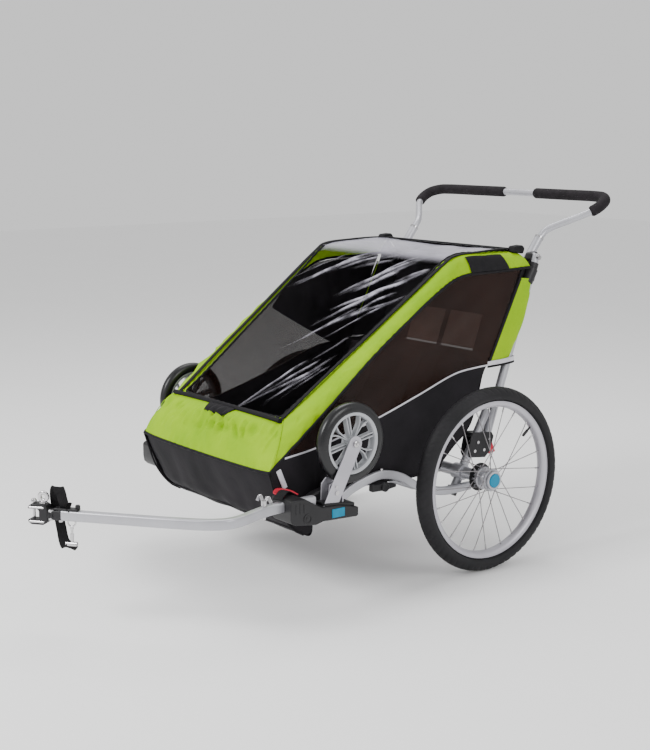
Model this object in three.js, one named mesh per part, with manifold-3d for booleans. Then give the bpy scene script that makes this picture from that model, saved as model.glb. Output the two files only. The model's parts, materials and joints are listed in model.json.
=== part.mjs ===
// Child bicycle trailer for two, with its stroller wheels stored upwards at the front.
// Millimetres, +Z up, front (towards the bicycle) along -Y, the trailer's left side along +X.
// Everything is drawn with the big wheels' axle over y = 0 and the ground at z = 0, and the
// whole trailer is moved at the end so that its origin is under the middle of its own box.
import * as THREE from 'three';
import { mergeVertices } from 'three/addons/utils/BufferGeometryUtils.js';
import Module from 'manifold-3d';

const wasm = await Module();
wasm.setup();

// ---- driving dimensions ----
const clearance = 0.3;            // gap between pieces that touch
const runClearance = 0.4;         // radial gap of a shaft in a faceted bore

const wheelRadius = 250;          // 20 inch wheel over the tyre
const tyreWidth = 46;
const tyreHeight = 37;            // from the rim's edge to the tread
const rimDepth = 17;
const rimOuterRadius = wheelRadius - tyreHeight;
const rimInnerRadius = rimOuterRadius - rimDepth;
const rimWidth = 30;
const halfTrack = 400;            // centre plane to the plane of each big wheel
const spokesPerFlange = 12;
const spokeRadius = 1.3;
const hubFlangeRadius = 27;
const axlePinRadius = 6.1;
const axleHeadRadius = 26;
const axleButtonRadius = 18.5;
const rotorRadius = 38.5;
const rotorHoleCircle = 28;
const rotorHoleRadius = 3.7;
const rotorHoles = 8;
const rotorThickness = 3;

const axleTubeRadius = 16;
const axleTubeHalfLength = 358;
const postX = 290;                // plane of the posts and uprights on each side
const postRadius = 12.5;
const foldPivot = [36, 303];      // y, z of the fold bolt
const foldBoltRadius = 4;
const bracketPlate = 3;
const uprightTop = [272, 816];    // y, z of the bolt that the handlebar tilts about

const railX = 306.5;              // inner face of each base rail
const railWidth = 12;
const railHeight = 23;
const crossTubeRadius = 11;

const housingInner = 319;
const housingOuter = 400;
const strollerWheelRadius = 102;
const strollerWheelWidth = 32;
const strollerWheelX = 366;
const strollerHub = [-447, 407];  // y, z of each stroller wheel's axle
const strollerPlate = 4;
const strollerPlateWidth = 40;

const armHeight = 25;
const armWidth = 22;
const armZ = 277;                 // middle of the hitch arm
const armRootX = 363;
const handleTubeRadius = 10;
const gripRadius = 15.5;

const roofHalfWidth = 280;
const sideHalfWidth = 304;
const clothWall = 4;

// ---- finishes ----
const finish = (color, roughness, metalness) =>
  new THREE.MeshStandardMaterial({ color, roughness, metalness });
const finishes = {
  aluminium: () => finish(0xc9cbcf, 0.35, 0.9),
  chrome: () => finish(0xe4e4e6, 0.12, 1.0),
  rubber: () => finish(0x1a191c, 0.75, 0.0),
  blackPlastic: () => finish(0x222126, 0.5, 0.0),
  greyPlastic: () => finish(0xc4c5c9, 0.5, 0.0),
  blue: () => finish(0x18b0d6, 0.35, 0.0),
  red: () => finish(0xc01530, 0.45, 0.0),
  foam: () => finish(0x2a272c, 0.9, 0.0),
  lime: () => finish(0xa9d42a, 0.7, 0.0),
  blackCloth: () => finish(0x232026, 0.85, 0.0),
  film: () => finish(0xcfd2da, 0.1, 0.0),
  mesh: () => finish(0x1b181a, 0.8, 0.0),
  webbing: () => finish(0x161517, 0.85, 0.0),
};

// ---- shape helpers ----
function closed(geometry) {
  // Position only, shared corners merged, faces turned outwards.
  geometry.deleteAttribute('normal');
  geometry.deleteAttribute('uv');
  const merged = mergeVertices(geometry, 1e-4);
  const index = merged.index.array;
  const p = merged.attributes.position;
  let volume = 0;
  const [a, b, c] = [new THREE.Vector3(), new THREE.Vector3(), new THREE.Vector3()];
  for (let i = 0; i < index.length; i += 3) {
    a.fromBufferAttribute(p, index[i]);
    b.fromBufferAttribute(p, index[i + 1]);
    c.fromBufferAttribute(p, index[i + 2]);
    volume += a.dot(b.cross(c));
  }
  const kept = [];
  for (let i = 0; i < index.length; i += 3) {
    const [i0, i1, i2] = [index[i], index[i + 1], index[i + 2]];
    if (i0 === i1 || i1 === i2 || i2 === i0) continue;   // a face at a lathe's pole
    kept.push(i0, volume < 0 ? i2 : i1, volume < 0 ? i1 : i2);
  }
  merged.setIndex(kept);
  return merged;
}

function solid(geometry) {
  const g = closed(geometry);
  return new wasm.Manifold(new wasm.Mesh({
    numProp: 3,
    vertProperties: Float32Array.from(g.attributes.position.array),
    triVerts: Uint32Array.from(g.index.array),
  }));
}

function fromSolid(manifold) {
  const m = manifold.getMesh();
  const g = new THREE.BufferGeometry();
  g.setAttribute('position', new THREE.BufferAttribute(new Float32Array(m.vertProperties), 3));
  g.setIndex(Array.from(m.triVerts));
  return g;
}

const join = (...parts) => fromSolid(parts.map(solid).reduce((a, b) => a.add(b)));
const cut = (body, ...tools) => fromSolid(tools.map(solid).reduce((a, b) => a.subtract(b), solid(body)));

function mirrored(geometry) {
  // The same piece for the trailer's right side.
  const copy = geometry.clone();
  copy.scale(-1, 1, 1);
  return closed(copy);
}

const axisX = new THREE.Vector3(1, 0, 0);
const axisY = new THREE.Vector3(0, 1, 0);
const axisZ = new THREE.Vector3(0, 0, 1);

function prismX(outline, xLow, xHigh) {
  // A flat outline of (y, z) points, given its width along X.
  const shape = new THREE.Shape(outline.map(([y, z]) => new THREE.Vector2(y, z)));
  const g = new THREE.ExtrudeGeometry(shape, { depth: xHigh - xLow, bevelEnabled: false });
  g.applyMatrix4(new THREE.Matrix4().makeBasis(axisY, axisZ, axisX));
  g.translate(xLow, 0, 0);
  return g;
}

function rod(from, to, radius, sides = 12) {
  const a = new THREE.Vector3(...from);
  const b = new THREE.Vector3(...to);
  const g = new THREE.CylinderGeometry(radius, radius, a.distanceTo(b), sides);
  const turn = new THREE.Quaternion().setFromUnitVectors(axisY, b.clone().sub(a).normalize());
  g.applyQuaternion(turn);
  g.translate((a.x + b.x) / 2, (a.y + b.y) / 2, (a.z + b.z) / 2);
  return g;
}

const box = (x0, x1, y0, y1, z0, z1) =>
  new THREE.BoxGeometry(x1 - x0, y1 - y0, z1 - z0).translate((x0 + x1) / 2, (y0 + y1) / 2, (z0 + z1) / 2);

function ringX(profile, sides) {
  // A profile of (radius, x) points turned about the X axis.
  const points = profile.map(([r, x]) => new THREE.Vector2(r, x));
  return new THREE.LatheGeometry(points, sides).rotateZ(-Math.PI / 2);
}

function roundShape(radius, sides) {
  const points = [];
  for (let i = 0; i < sides; i += 1) {
    const t = (2 * Math.PI * i) / sides;
    points.push(new THREE.Vector2(radius * Math.cos(t), radius * Math.sin(t)));
  }
  return new THREE.Shape(points);
}

function alongCurve(shape, curve, steps) {
  return new THREE.ExtrudeGeometry(shape, { steps, bevelEnabled: false, extrudePath: curve });
}

class Stretch extends THREE.Curve {
  // The part of another curve between two of its parameters.
  constructor(curve, start, end) {
    super();
    Object.assign(this, { curve, start, end });
  }

  getPoint(t, target = new THREE.Vector3()) {
    return this.curve.getPoint(this.start + (this.end - this.start) * t, target);
  }
}

function ribbon(points, across, width, thickness) {
  // Webbing: a flat strip along points, its width along the unit vector `across`.
  const path = points.map((p) => new THREE.Vector3(...p));
  const w = across.clone().normalize().multiplyScalar(width / 2);
  const corners = [];
  path.forEach((p, i) => {
    const ahead = path[Math.min(i + 1, path.length - 1)].clone().sub(path[Math.max(i - 1, 0)]);
    const n = ahead.cross(across).normalize().multiplyScalar(thickness / 2);
    for (const [s, t] of [[-1, -1], [1, -1], [1, 1], [-1, 1]]) {
      corners.push(p.clone().addScaledVector(w, s).addScaledVector(n, t));
    }
  });
  const index = [0, 1, 2, 0, 2, 3];
  const last = (path.length - 1) * 4;
  index.push(last, last + 2, last + 1, last, last + 3, last + 2);
  for (let i = 0; i < path.length - 1; i += 1) {
    for (let k = 0; k < 4; k += 1) {
      const [a, b] = [i * 4 + k, i * 4 + ((k + 1) % 4)];
      index.push(a, a + 4, b, b, a + 4, b + 4);
    }
  }
  const g = new THREE.BufferGeometry().setFromPoints(corners);
  g.setIndex(index);
  return g;
}

function lofted(stations) {
  // Rings of equal counts of points, joined in turn, the first and last closed flat.
  const count = stations[0].outline.length;
  const points = [];
  for (const { x, outline } of stations) for (const [y, z] of outline) points.push(new THREE.Vector3(x, y, z));
  const index = [];
  for (let s = 0; s < stations.length - 1; s += 1) {
    for (let k = 0; k < count; k += 1) {
      const [a, b] = [s * count + k, s * count + ((k + 1) % count)];
      index.push(a, b, a + count, b, b + count, a + count);
    }
  }
  const flat = stations[0].outline.map(([y, z]) => new THREE.Vector2(y, z));
  const caps = THREE.ShapeUtils.triangulateShape(flat, []);
  const lastFlat = stations.at(-1).outline.map(([y, z]) => new THREE.Vector2(y, z));
  const lastCaps = THREE.ShapeUtils.triangulateShape(lastFlat, []);
  const base = (stations.length - 1) * count;
  for (const [i, j, k] of caps) index.push(i, k, j);
  for (const [i, j, k] of lastCaps) index.push(base + i, base + j, base + k);
  const g = new THREE.BufferGeometry().setFromPoints(points);
  g.setIndex(index);
  return g;
}

const offsetAlong = ([y, z], [dy, dz], distance) => [y + dy * distance, z + dz * distance];
const unit = ([y0, z0], [y1, z1]) => {
  const length = Math.hypot(y1 - y0, z1 - z0);
  return [(y1 - y0) / length, (z1 - z0) / length];
};

function stadium(low, high, halfWidth, roundTop) {
  // A flat bar's outline from one (y, z) point to another, its top end round where asked.
  const d = unit(low, high);
  const n = [d[1], -d[0]];
  const outline = [offsetAlong(low, n, -halfWidth), offsetAlong(low, n, halfWidth)];
  const steps = roundTop ? 8 : 1;
  for (let i = 0; i <= steps; i += 1) {
    const t = (Math.PI * i) / steps;
    const rise = roundTop ? halfWidth * Math.sin(t) : 0;
    outline.push(offsetAlong(offsetAlong(high, n, halfWidth * Math.cos(t)), d, rise));
  }
  return outline;
}

// ---- assembly ----
const trailer = new THREE.Group();
trailer.name = 'child_bicycle_trailer';

function add(name, geometry, finishName, parent = trailer) {
  const mesh = new THREE.Mesh(closed(geometry), finishes[finishName]());
  mesh.name = name;
  parent.add(mesh);
  return mesh;
}

function addPair(name, geometry, finishName) {
  const g = closed(geometry);
  add(`left_${name}`, g.clone(), finishName);
  add(`right_${name}`, mirrored(g), finishName);
}

// ---- big wheels: drawn about the X axis at the origin, then moved to the axle ----
const wheelSides = 36;
const atWheel = (g) => g.translate(halfTrack, 0, wheelRadius);

function tyre() {
  const half = tyreWidth / 2;
  const inner = rimOuterRadius + clearance;
  const r = wheelRadius;
  const profile = [
    [inner, -half + 8], [inner + 10, -half + 2], [r - 15, -half], [r - 5, -half + 7], [r, -5], [r, 5],
    [r - 5, half - 7], [r - 15, half], [inner + 10, half - 2], [inner, half - 8], [inner, -half + 8],
  ];
  return ringX(profile, wheelSides);
}

function rim() {
  const [outer, inner, half] = [rimOuterRadius, rimInnerRadius, rimWidth / 2];
  return ringX([
    [outer, -half], [outer, half], [outer - 9, half], [inner, half - 8], [inner, -half + 8],
    [outer - 9, -half], [outer, -half],
  ], wheelSides);
}

const hubInnerEnd = -30;
const hubOuterEnd = 18;
const flangeOffset = 14;
const hubBore = axlePinRadius + runClearance;

function hubAndSpokes() {
  const hub = ringX([
    [hubBore, hubInnerEnd], [20, hubInnerEnd], [20, -flangeOffset - 3], [hubFlangeRadius, -flangeOffset - 2],
    [hubFlangeRadius, -flangeOffset + 2], [14, -flangeOffset + 5], [14, flangeOffset - 5],
    [hubFlangeRadius, flangeOffset - 2], [hubFlangeRadius, flangeOffset + 2], [20, hubOuterEnd],
    [hubBore, hubOuterEnd], [hubBore, hubInnerEnd],
  ], 16);
  const reach = rimInnerRadius - 1;
  const pitch = (2 * Math.PI) / spokesPerFlange;
  const lead = 0.95;               // radians each spoke leans round the hub
  const spokes = [];
  for (const side of [-1, 1]) {
    for (let i = 0; i < spokesPerFlange; i += 1) {
      const foot = i * pitch + (side > 0 ? pitch / 4 : 0);
      const lean = i % 2 === 0 ? 1 : -1;
      const tip = foot + lean * lead;
      const footAt = [side * flangeOffset + lean * 2, 23 * Math.cos(foot), 23 * Math.sin(foot)];
      const tipAt = [side * 2 + lean * 2, reach * Math.cos(tip), reach * Math.sin(tip)];
      spokes.push(rod(footAt, tipAt, spokeRadius, 3));
    }
  }
  return join(hub, ...spokes);
}

function brakeRotor() {
  const inner = hubInnerEnd - clearance - rotorThickness;
  const disc = ringX([[hubBore + 1, inner], [rotorRadius, inner], [rotorRadius, inner + rotorThickness],
    [hubBore + 1, inner + rotorThickness], [hubBore + 1, inner]], 24);
  const holes = [];
  for (let i = 0; i < rotorHoles; i += 1) {
    const t = (2 * Math.PI * i) / rotorHoles;
    const [y, z] = [rotorHoleCircle * Math.cos(t), rotorHoleCircle * Math.sin(t)];
    holes.push(rod([inner - 5, y, z], [inner + rotorThickness + 5, y, z], rotorHoleRadius, 6));
  }
  return cut(disc, ...holes);
}

const axlePinReach = 60;           // how far the pin goes into the axle tube
const axleHeadInner = hubOuterEnd + clearance;
const buttonPocket = 5;
const buttonFloor = 1.7;
const buttonStand = 3;             // how far each push button stands out, and its travel

function axlePin() {
  const shaftEnd = axleTubeHalfLength - axlePinReach - halfTrack;
  const headOuter = axleHeadInner + buttonFloor + buttonPocket;
  const pocket = axleButtonRadius + runClearance;
  return ringX([
    [0, shaftEnd], [axlePinRadius - 1.5, shaftEnd], [axlePinRadius, shaftEnd + 3], [axlePinRadius, axleHeadInner],
    [axleHeadRadius, axleHeadInner], [axleHeadRadius, headOuter - 2], [axleHeadRadius - 2, headOuter],
    [pocket, headOuter], [pocket, axleHeadInner + buttonFloor], [0, axleHeadInner + buttonFloor],
  ], 16);
}

function axleButton() {
  const back = axleHeadInner + buttonFloor + buttonStand + clearance;
  const face = axleHeadInner + buttonFloor + buttonPocket + buttonStand - 1;
  return ringX([[0, back], [axleButtonRadius, back], [axleButtonRadius, face - 1.5],
    [axleButtonRadius - 3, face], [0, face + 0.6]], 16);
}

addPair('tyre', atWheel(tyre()), 'rubber');
addPair('rim', atWheel(rim()), 'aluminium');
addPair('hub_and_spokes', atWheel(hubAndSpokes()), 'aluminium');
addPair('brake_rotor', atWheel(brakeRotor()), 'blackPlastic');
addPair('axle_pin', atWheel(axlePin()), 'aluminium');
addPair('axle_button', atWheel(axleButton()), 'blue');

// ---- rear frame: axle tube welded to the two lower posts, with the brake pin guides ----
const postLow = [-27, 194];
const postUp = unit(postLow, foldPivot);
const postTop = offsetAlong(foldPivot, postUp, 10);
const brakePinRadius = 2.8;
const rotorInnerFace = halfTrack + hubInnerEnd - clearance - rotorThickness;
const brakePinTip = rotorInnerFace - 2;
const guideInner = 322;
const guideOuter = 340;

function rearFrame() {
  const axle = rod([-axleTubeHalfLength, 0, wheelRadius], [axleTubeHalfLength, 0, wheelRadius], axleTubeRadius, 16);
  const parts = [axle];
  const holes = [];
  for (const side of [-1, 1]) {
    const x = side * postX;
    parts.push(rod([x, ...postLow], [x, ...postTop], postRadius, 14));
    const guide = [side * guideInner, side * guideOuter].sort((a, b) => a - b);
    parts.push(box(guide[0], guide[1], 5, rotorHoleCircle + 8, wheelRadius - 8, wheelRadius + 8));
    holes.push(rod([x - 20, ...foldPivot], [x + 20, ...foldPivot], foldBoltRadius + runClearance, 12));
    const boreEnds = [side * (axleTubeHalfLength - axlePinReach - 4), side * (axleTubeHalfLength + 5)];
    holes.push(rod([boreEnds[0], 0, wheelRadius], [boreEnds[1], 0, wheelRadius], axlePinRadius + runClearance, 16));
    holes.push(rod([side * (guideInner - 5), rotorHoleCircle, wheelRadius],
      [side * (guideOuter + 5), rotorHoleCircle, wheelRadius], brakePinRadius + runClearance, 10));
  }
  for (const x of [-34, 26]) parts.push(box(x, x + 8, 8, 40, wheelRadius - 10, wheelRadius + 10));
  const pedalBore = rod([-60, pedalPivotY, wheelRadius], [60, pedalPivotY, wheelRadius], 4 + runClearance, 12);
  return cut(join(...parts), ...holes, pedalBore);
}

const pedalPivotY = 30;
add('rear_frame', rearFrame(), 'aluminium');

function brakePedal() {
  // A foot pedal on its own cross pin, behind the axle tube.
  const lever = prismX([[22, wheelRadius - 6], [38, wheelRadius - 7], [60, wheelRadius + 6], [112, wheelRadius + 12],
    [112, wheelRadius + 20], [56, wheelRadius + 16], [22, wheelRadius + 7]], -24, 24);
  return join(lever, rod([-38, pedalPivotY, wheelRadius], [38, pedalPivotY, wheelRadius], 4, 12));
}

add('brake_pedal', brakePedal(), 'red');
addPair('brake_pin', rod([guideInner - 14, rotorHoleCircle, wheelRadius],
  [brakePinTip, rotorHoleCircle, wheelRadius], brakePinRadius, 10), 'chrome');

// ---- folding uprights: bracket plates and bolts, upright, short strut, lever ----
const uprightLow = [81, 290];
const uprightLean = unit(uprightLow, uprightTop);
const strutLow = offsetAlong(foldPivot, postUp, 20);
const strutTop = offsetAlong(foldPivot, postUp, 124);
const strutBolt = offsetAlong(foldPivot, postUp, 34);
const uprightBolt = offsetAlong(uprightLow, uprightLean, 14);
const boltClear = foldBoltRadius + runClearance;
const plateGap = postRadius + 0.7;
const boltAcross = (yz, radius) => rod([postX - 22, ...yz], [postX + 22, ...yz], radius, 12);

function foldBracket() {
  const outline = [[16, 300], [22, 287], [80, 280], [98, 296], [112, 336], [104, 348], [34, 356], [26, 345]];
  const inner = prismX(outline, postX - plateGap - bracketPlate, postX - plateGap);
  const outer = prismX(outline, postX + plateGap, postX + plateGap + bracketPlate);
  const bolts = [foldPivot, strutBolt, uprightBolt].map((at) => rod(
    [postX - plateGap - bracketPlate + 0.5, ...at], [postX + plateGap + bracketPlate - 0.5, ...at], foldBoltRadius, 12));
  return join(inner, outer, ...bolts);
}

const tiltBoltRadius = 4;

function upright() {
  const tube = rod([postX, ...uprightLow], [postX, ...offsetAlong(uprightTop, uprightLean, 12)], postRadius, 14);
  return cut(tube, boltAcross(uprightBolt, boltClear), boltAcross(uprightTop, tiltBoltRadius + runClearance));
}

addPair('fold_bracket', foldBracket(), 'blackPlastic');
addPair('upright', upright(), 'aluminium');
addPair('strut', cut(rod([postX, ...strutLow], [postX, ...strutTop], postRadius, 14),
  boltAcross(strutBolt, boltClear)), 'aluminium');
addPair('fold_lever', prismX([[107, 321], [114, 318], [128, 288], [103, 284], [101, 300]],
  postX - 9, postX + 9), 'red');

// ---- handlebar: one bent tube between two socket tubes, with two foam grips ----
const socketRadius = 12.5;
const socketX = postX - postRadius - socketRadius - 0.8;
const socketLean = unit([272, 816], [316, 872]);
const socketLow = offsetAlong(uprightTop, socketLean, -14);
const socketTop = offsetAlong(uprightTop, socketLean, 70);
const boltHeadX = postX + postRadius + 0.7;

function socket() {
  const tube = rod([socketX, ...socketLow], [socketX, ...socketTop], socketRadius, 14);
  const bolt = rod([socketX, ...uprightTop], [boltHeadX + 1, ...uprightTop], tiltBoltRadius, 12);
  const head = rod([boltHeadX, ...uprightTop], [boltHeadX + 6, ...uprightTop], 8, 12);
  return join(tube, bolt, head);
}

const socketInside = offsetAlong(socketTop, socketLean, -36);
const handleHalf = [
  [socketX, ...socketInside], [socketX, ...offsetAlong(socketTop, socketLean, -18)],
  [socketX, ...socketTop], [socketX + 5, 333, 888], [285, 352, 902], [318, 382, 920],
  [350, 412, 938], [366, 438, 953], [364, 470, 971], [340, 491, 980], [300, 499, 982],
  [220, 503, 982], [140, 505, 982], [60, 507, 982],
];
const handleRoute = [
  ...handleHalf.map(([x, y, z]) => new THREE.Vector3(x, y, z)), new THREE.Vector3(0, 507.5, 982),
  ...handleHalf.slice().reverse().map(([x, y, z]) => new THREE.Vector3(-x, y, z)),
];
const handleCurve = new THREE.CatmullRomCurve3(handleRoute);
const handleSpans = handleRoute.length - 1;
const gripStart = 6.2 / handleSpans;
const gripEnd = (handleHalf.length - 1) / handleSpans;

function grip() {
  const stretch = new Stretch(handleCurve, gripStart, gripEnd);
  const core = new Stretch(handleCurve, gripStart - 0.01, gripEnd + 0.01);
  return cut(alongCurve(roundShape(gripRadius, 10), stretch, 20),
    alongCurve(roundShape(handleTubeRadius + 1.8, 8), core, 22));
}

const handleTube = alongCurve(roundShape(handleTubeRadius, 8), handleCurve, 64);
add('handlebar', join(handleTube, socket(), mirrored(socket())), 'aluminium');
addPair('handle_grip', grip(), 'foam');

// ---- base rails and cross tubes ----
const railLine = [[-500, 240], [-446, 246], [-402, 268], [-352, 283], [-300, 291], [-237, 276], [-181, 244],
  [-91, 214], [17, 212]];

function baseRail() {
  const top = railLine.map(([y, z]) => [y, z + railHeight / 2]);
  const bottom = railLine.map(([y, z]) => [y, z - railHeight / 2]).reverse();
  return prismX([...bottom, ...top], railX, railX + railWidth);
}

const tubeReach = railX - clearance;
addPair('base_rail', baseRail(), 'aluminium');
add('front_cross_tube', rod([-tubeReach, -474, 238], [tubeReach, -474, 238], crossTubeRadius), 'aluminium');
add('middle_cross_tube', rod([-tubeReach, -181, 242], [tubeReach, -181, 242], crossTubeRadius), 'aluminium');

// ---- front corner housings, their buttons, and the stroller wheels on their arms ----
const armDirection = unit([-519, 272], strollerHub);
const plateLow = offsetAlong(strollerHub, armDirection, -175);
const plateInner = strollerWheelX + strollerWheelWidth / 2 + 2.5;
const plateOuter = plateInner + strollerPlate;
const armTipRoot = -560;            // how far back the hitch arm goes into the left housing
const buttonBox = { y0: -531, y1: -490, z0: 234, z1: 258, back: 393 };

// The left housing reaches forward to clamp the hitch arm; the right one ends short of the nose.
const housingBack = [[-450, 226], [-446, 230], [-446, 250], [-500, 262]];
const leftHousing = {
  body: [[-655, 250], [-650, 240], [-639, 235], [-578, 226], [-556, 231], ...housingBack, [-560, 266],
    [-610, 296], [-652, 297], [-655, 292]],
  hump: [[-600, 240], [-450, 240], [-452, 288], [-500, 298], [-540, 290], [-600, 262]],
};
const rightHousing = {
  body: [[-592, 252], [-589, 236], [-578, 225], [-556, 222], ...housingBack, [-545, 268], [-566, 294],
    [-586, 292], [-592, 286]],
  hump: [[-584, 240], [-450, 240], [-452, 288], [-500, 298], [-540, 290], [-582, 272]],
};

function cornerHousing(outlines) {
  const body = prismX(outlines.body, housingInner, housingOuter);
  const hump = prismX(outlines.hump, housingInner, strollerWheelX - strollerWheelWidth / 2 - 4);
  const armSocket = box(armRootX - armWidth / 2 - 0.6, armRootX + armWidth / 2 + 0.6, -700, armTipRoot + 4,
    armZ - armHeight / 2 - 0.6, armZ + armHeight / 2 + 0.6);
  const slotLow = offsetAlong(plateLow, armDirection, -1);
  const slotHigh = offsetAlong(strollerHub, armDirection, 40);
  const slot = prismX(stadium(slotLow, slotHigh, strollerPlateWidth / 2 + 0.8, false),
    plateInner - 0.5, plateOuter + 0.5);
  const b = buttonBox;
  const pocket = box(b.back, housingOuter + 5, b.y0 - 0.5, b.y1 + 0.5, b.z0 - 0.5, b.z1 + 0.5);
  return cut(join(body, hump), armSocket, slot, pocket);
}

function housingButton() {
  const b = buttonBox;
  return box(b.back + buttonStand + clearance, housingOuter + 1.5, b.y0, b.y1, b.z0, b.z1);
}

function strollerArm() {
  const plate = prismX(stadium(plateLow, strollerHub, strollerPlateWidth / 2, true), plateInner, plateOuter);
  return cut(plate, rod([plateInner - 5, ...strollerHub], [plateOuter + 5, ...strollerHub], 4 + runClearance, 12));
}

function strollerBracket() {
  // A bent steel channel between the arm's foot and the inner side of the wheel.
  const x0 = strollerWheelX - strollerWheelWidth / 2 - 2;
  const outline = [[-528, 272], [-490, 272], [-484, 300], [-514, 317]];
  const channel = prismX(outline, x0, plateInner);
  const hollow = prismX([[-560, 280], [-460, 280], [-460, 340], [-560, 340]], x0 + 3, plateInner - 3);
  const bolt = rod([x0 + 1, -506, 292], [plateInner - 1, -506, 292], 5, 10);
  return join(cut(channel, hollow), bolt);
}

const atStroller = (g) => g.translate(strollerWheelX, ...strollerHub);

function strollerTyre() {
  const [r, half] = [strollerWheelRadius, strollerWheelWidth / 2];
  const inner = r - 22;
  return ringX([[inner, -half + 3], [r - 10, -half], [r - 3, -half + 5], [r, -4], [r, 4], [r - 3, half - 5],
    [r - 10, half], [inner, half - 3], [inner, -half + 3]], 24);
}

function strollerRim() {
  const outer = strollerWheelRadius - 22 - clearance;
  const ring = ringX([[outer, -12], [outer, 12], [outer - 12, 12], [outer - 15, 4], [outer - 15, -4],
    [outer - 12, -12], [outer, -12]], 24);
  const hub = ringX([[4 + runClearance, -15], [15, -15], [17, 0], [15, 15], [4 + runClearance, 15],
    [4 + runClearance, -15]], 12);
  const ribs = [];
  const count = 7;
  for (let i = 0; i < count; i += 1) {
    const rib = box(-6, 6, 13, outer - 13, -3.5, 3.5);
    rib.rotateX((2 * Math.PI * i) / count);
    ribs.push(rib);
  }
  return join(ring, hub, ...ribs);
}

function strollerBolt() {
  const shaft = rod([-17, 0, 0], [plateOuter - strollerWheelX + 2, 0, 0], 4, 12);
  const nut = rod([plateOuter - strollerWheelX + clearance, 0, 0], [plateOuter - strollerWheelX + 6, 0, 0], 9, 6);
  const head = rod([-22, 0, 0], [-15 - clearance, 0, 0], 9, 12);
  return join(shaft, nut, head);
}

add('left_corner_housing', cornerHousing(leftHousing), 'blackPlastic');
add('right_corner_housing', mirrored(cornerHousing(rightHousing)), 'blackPlastic');
addPair('housing_button', housingButton(), 'blue');
addPair('stroller_arm', join(strollerArm(), strollerBracket()), 'aluminium');
addPair('stroller_bolt', atStroller(strollerBolt()), 'chrome');
addPair('stroller_tyre', atStroller(strollerTyre()), 'rubber');
addPair('stroller_rim', atStroller(strollerRim()), 'greyPlastic');

// ---- hitch arm, a rectangular tube that bends outwards and then in front of the body ----
const armEnd = [91, -1110];
const armRoute = [
  [armRootX, armTipRoot], [armRootX, -600], [armRootX, -655], [armRootX + 5, -700], [armRootX + 20, -750],
  [400, -800], [403, -835], [385, -872], [330, -924], [250, -988], [170, -1050], armEnd,
].map(([x, y]) => new THREE.Vector3(x, y, armZ));
const armHeading = new THREE.Vector3(armEnd[0] - 250, armEnd[1] + 988, 0).normalize();

function hitchArm() {
  const [h, w] = [armHeight / 2, armWidth / 2];
  const section = new THREE.Shape([
    new THREE.Vector2(-h, -w), new THREE.Vector2(h, -w), new THREE.Vector2(h, w), new THREE.Vector2(-h, w),
  ]);
  const curve = new THREE.CatmullRomCurve3(armRoute);
  const tube = alongCurve(section, curve, 36);
  const pinHole = rod([lockPin.x, lockPin.y, armZ - 30], [lockPin.x, lockPin.y, armZ + 30], lockPin.radius + 0.5, 12);
  return cut(tube, pinHole);
}

const lockPin = { x: armRootX + 7, y: -712, radius: 3.5 };

function lockPinSolid() {
  const top = armZ + armHeight / 2;
  const shaft = rod([lockPin.x, lockPin.y, armZ - 20], [lockPin.x, lockPin.y, top + 4], lockPin.radius, 12);
  const head = rod([lockPin.x, lockPin.y, top + clearance], [lockPin.x, lockPin.y, top + 5], 7, 12);
  return join(shaft, head, box(lockPin.x - 2, lockPin.x + 2, lockPin.y - 9, lockPin.y + 9, top + 3, top + 20));
}

add('hitch_arm', hitchArm(), 'aluminium');
add('arm_lock_pin', lockPinSolid(), 'chrome');

// The hitch end is drawn with +X ahead along the arm, from the arm's end face.
const hitch = new THREE.Group();
hitch.position.set(armEnd[0], armEnd[1], armZ);
hitch.rotation.z = Math.atan2(armHeading.y, armHeading.x);
trailer.add(hitch);
const hitchYaw = 14;               // distance ahead of the arm's end to the upright swivel axis
const hitchPitch = 30;             // and to the level swivel axis

function prismZ(outline, zLow, zHigh) {
  const shape = new THREE.Shape(outline.map(([x, y]) => new THREE.Vector2(x, y)));
  return new THREE.ExtrudeGeometry(shape, { depth: zHigh - zLow, bevelEnabled: false }).translate(0, 0, zLow);
}

function hitchFork() {
  // Block on the arm's end: two level ears with the swivel's upright bore through them.
  const block = box(clearance, 6, -10, 10, -12, 12);
  const upper = box(5, hitchYaw + 5, -7, 7, 6, 12);
  const lower = box(5, hitchYaw + 5, -7, 7, -12, -6);
  const bore = rod([hitchYaw, 0, -20], [hitchYaw, 0, 20], 3 + runClearance, 12);
  return cut(join(block, upper, lower), bore);
}

function hitchSwivel() {
  const pin = rod([hitchYaw, 0, -14], [hitchYaw, 0, 14], 3, 12);
  const eye = rod([hitchYaw, 0, -5.6], [hitchYaw, 0, 5.6], 6.5, 12);
  const neck = box(hitchYaw, hitchPitch - 4, -4, 4, -5.6, 5.6);
  const cross = rod([hitchPitch, -12, 0], [hitchPitch, 12, 0], 4, 12);
  return join(pin, eye, neck, rod([hitchPitch, -5, 0], [hitchPitch, 5, 0], 6.5, 12), cross);
}

const couplerPin = 60;             // distance ahead of the arm's end to the hitch pin
const couplerEye = 37;
const couplerTop = 24;

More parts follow.
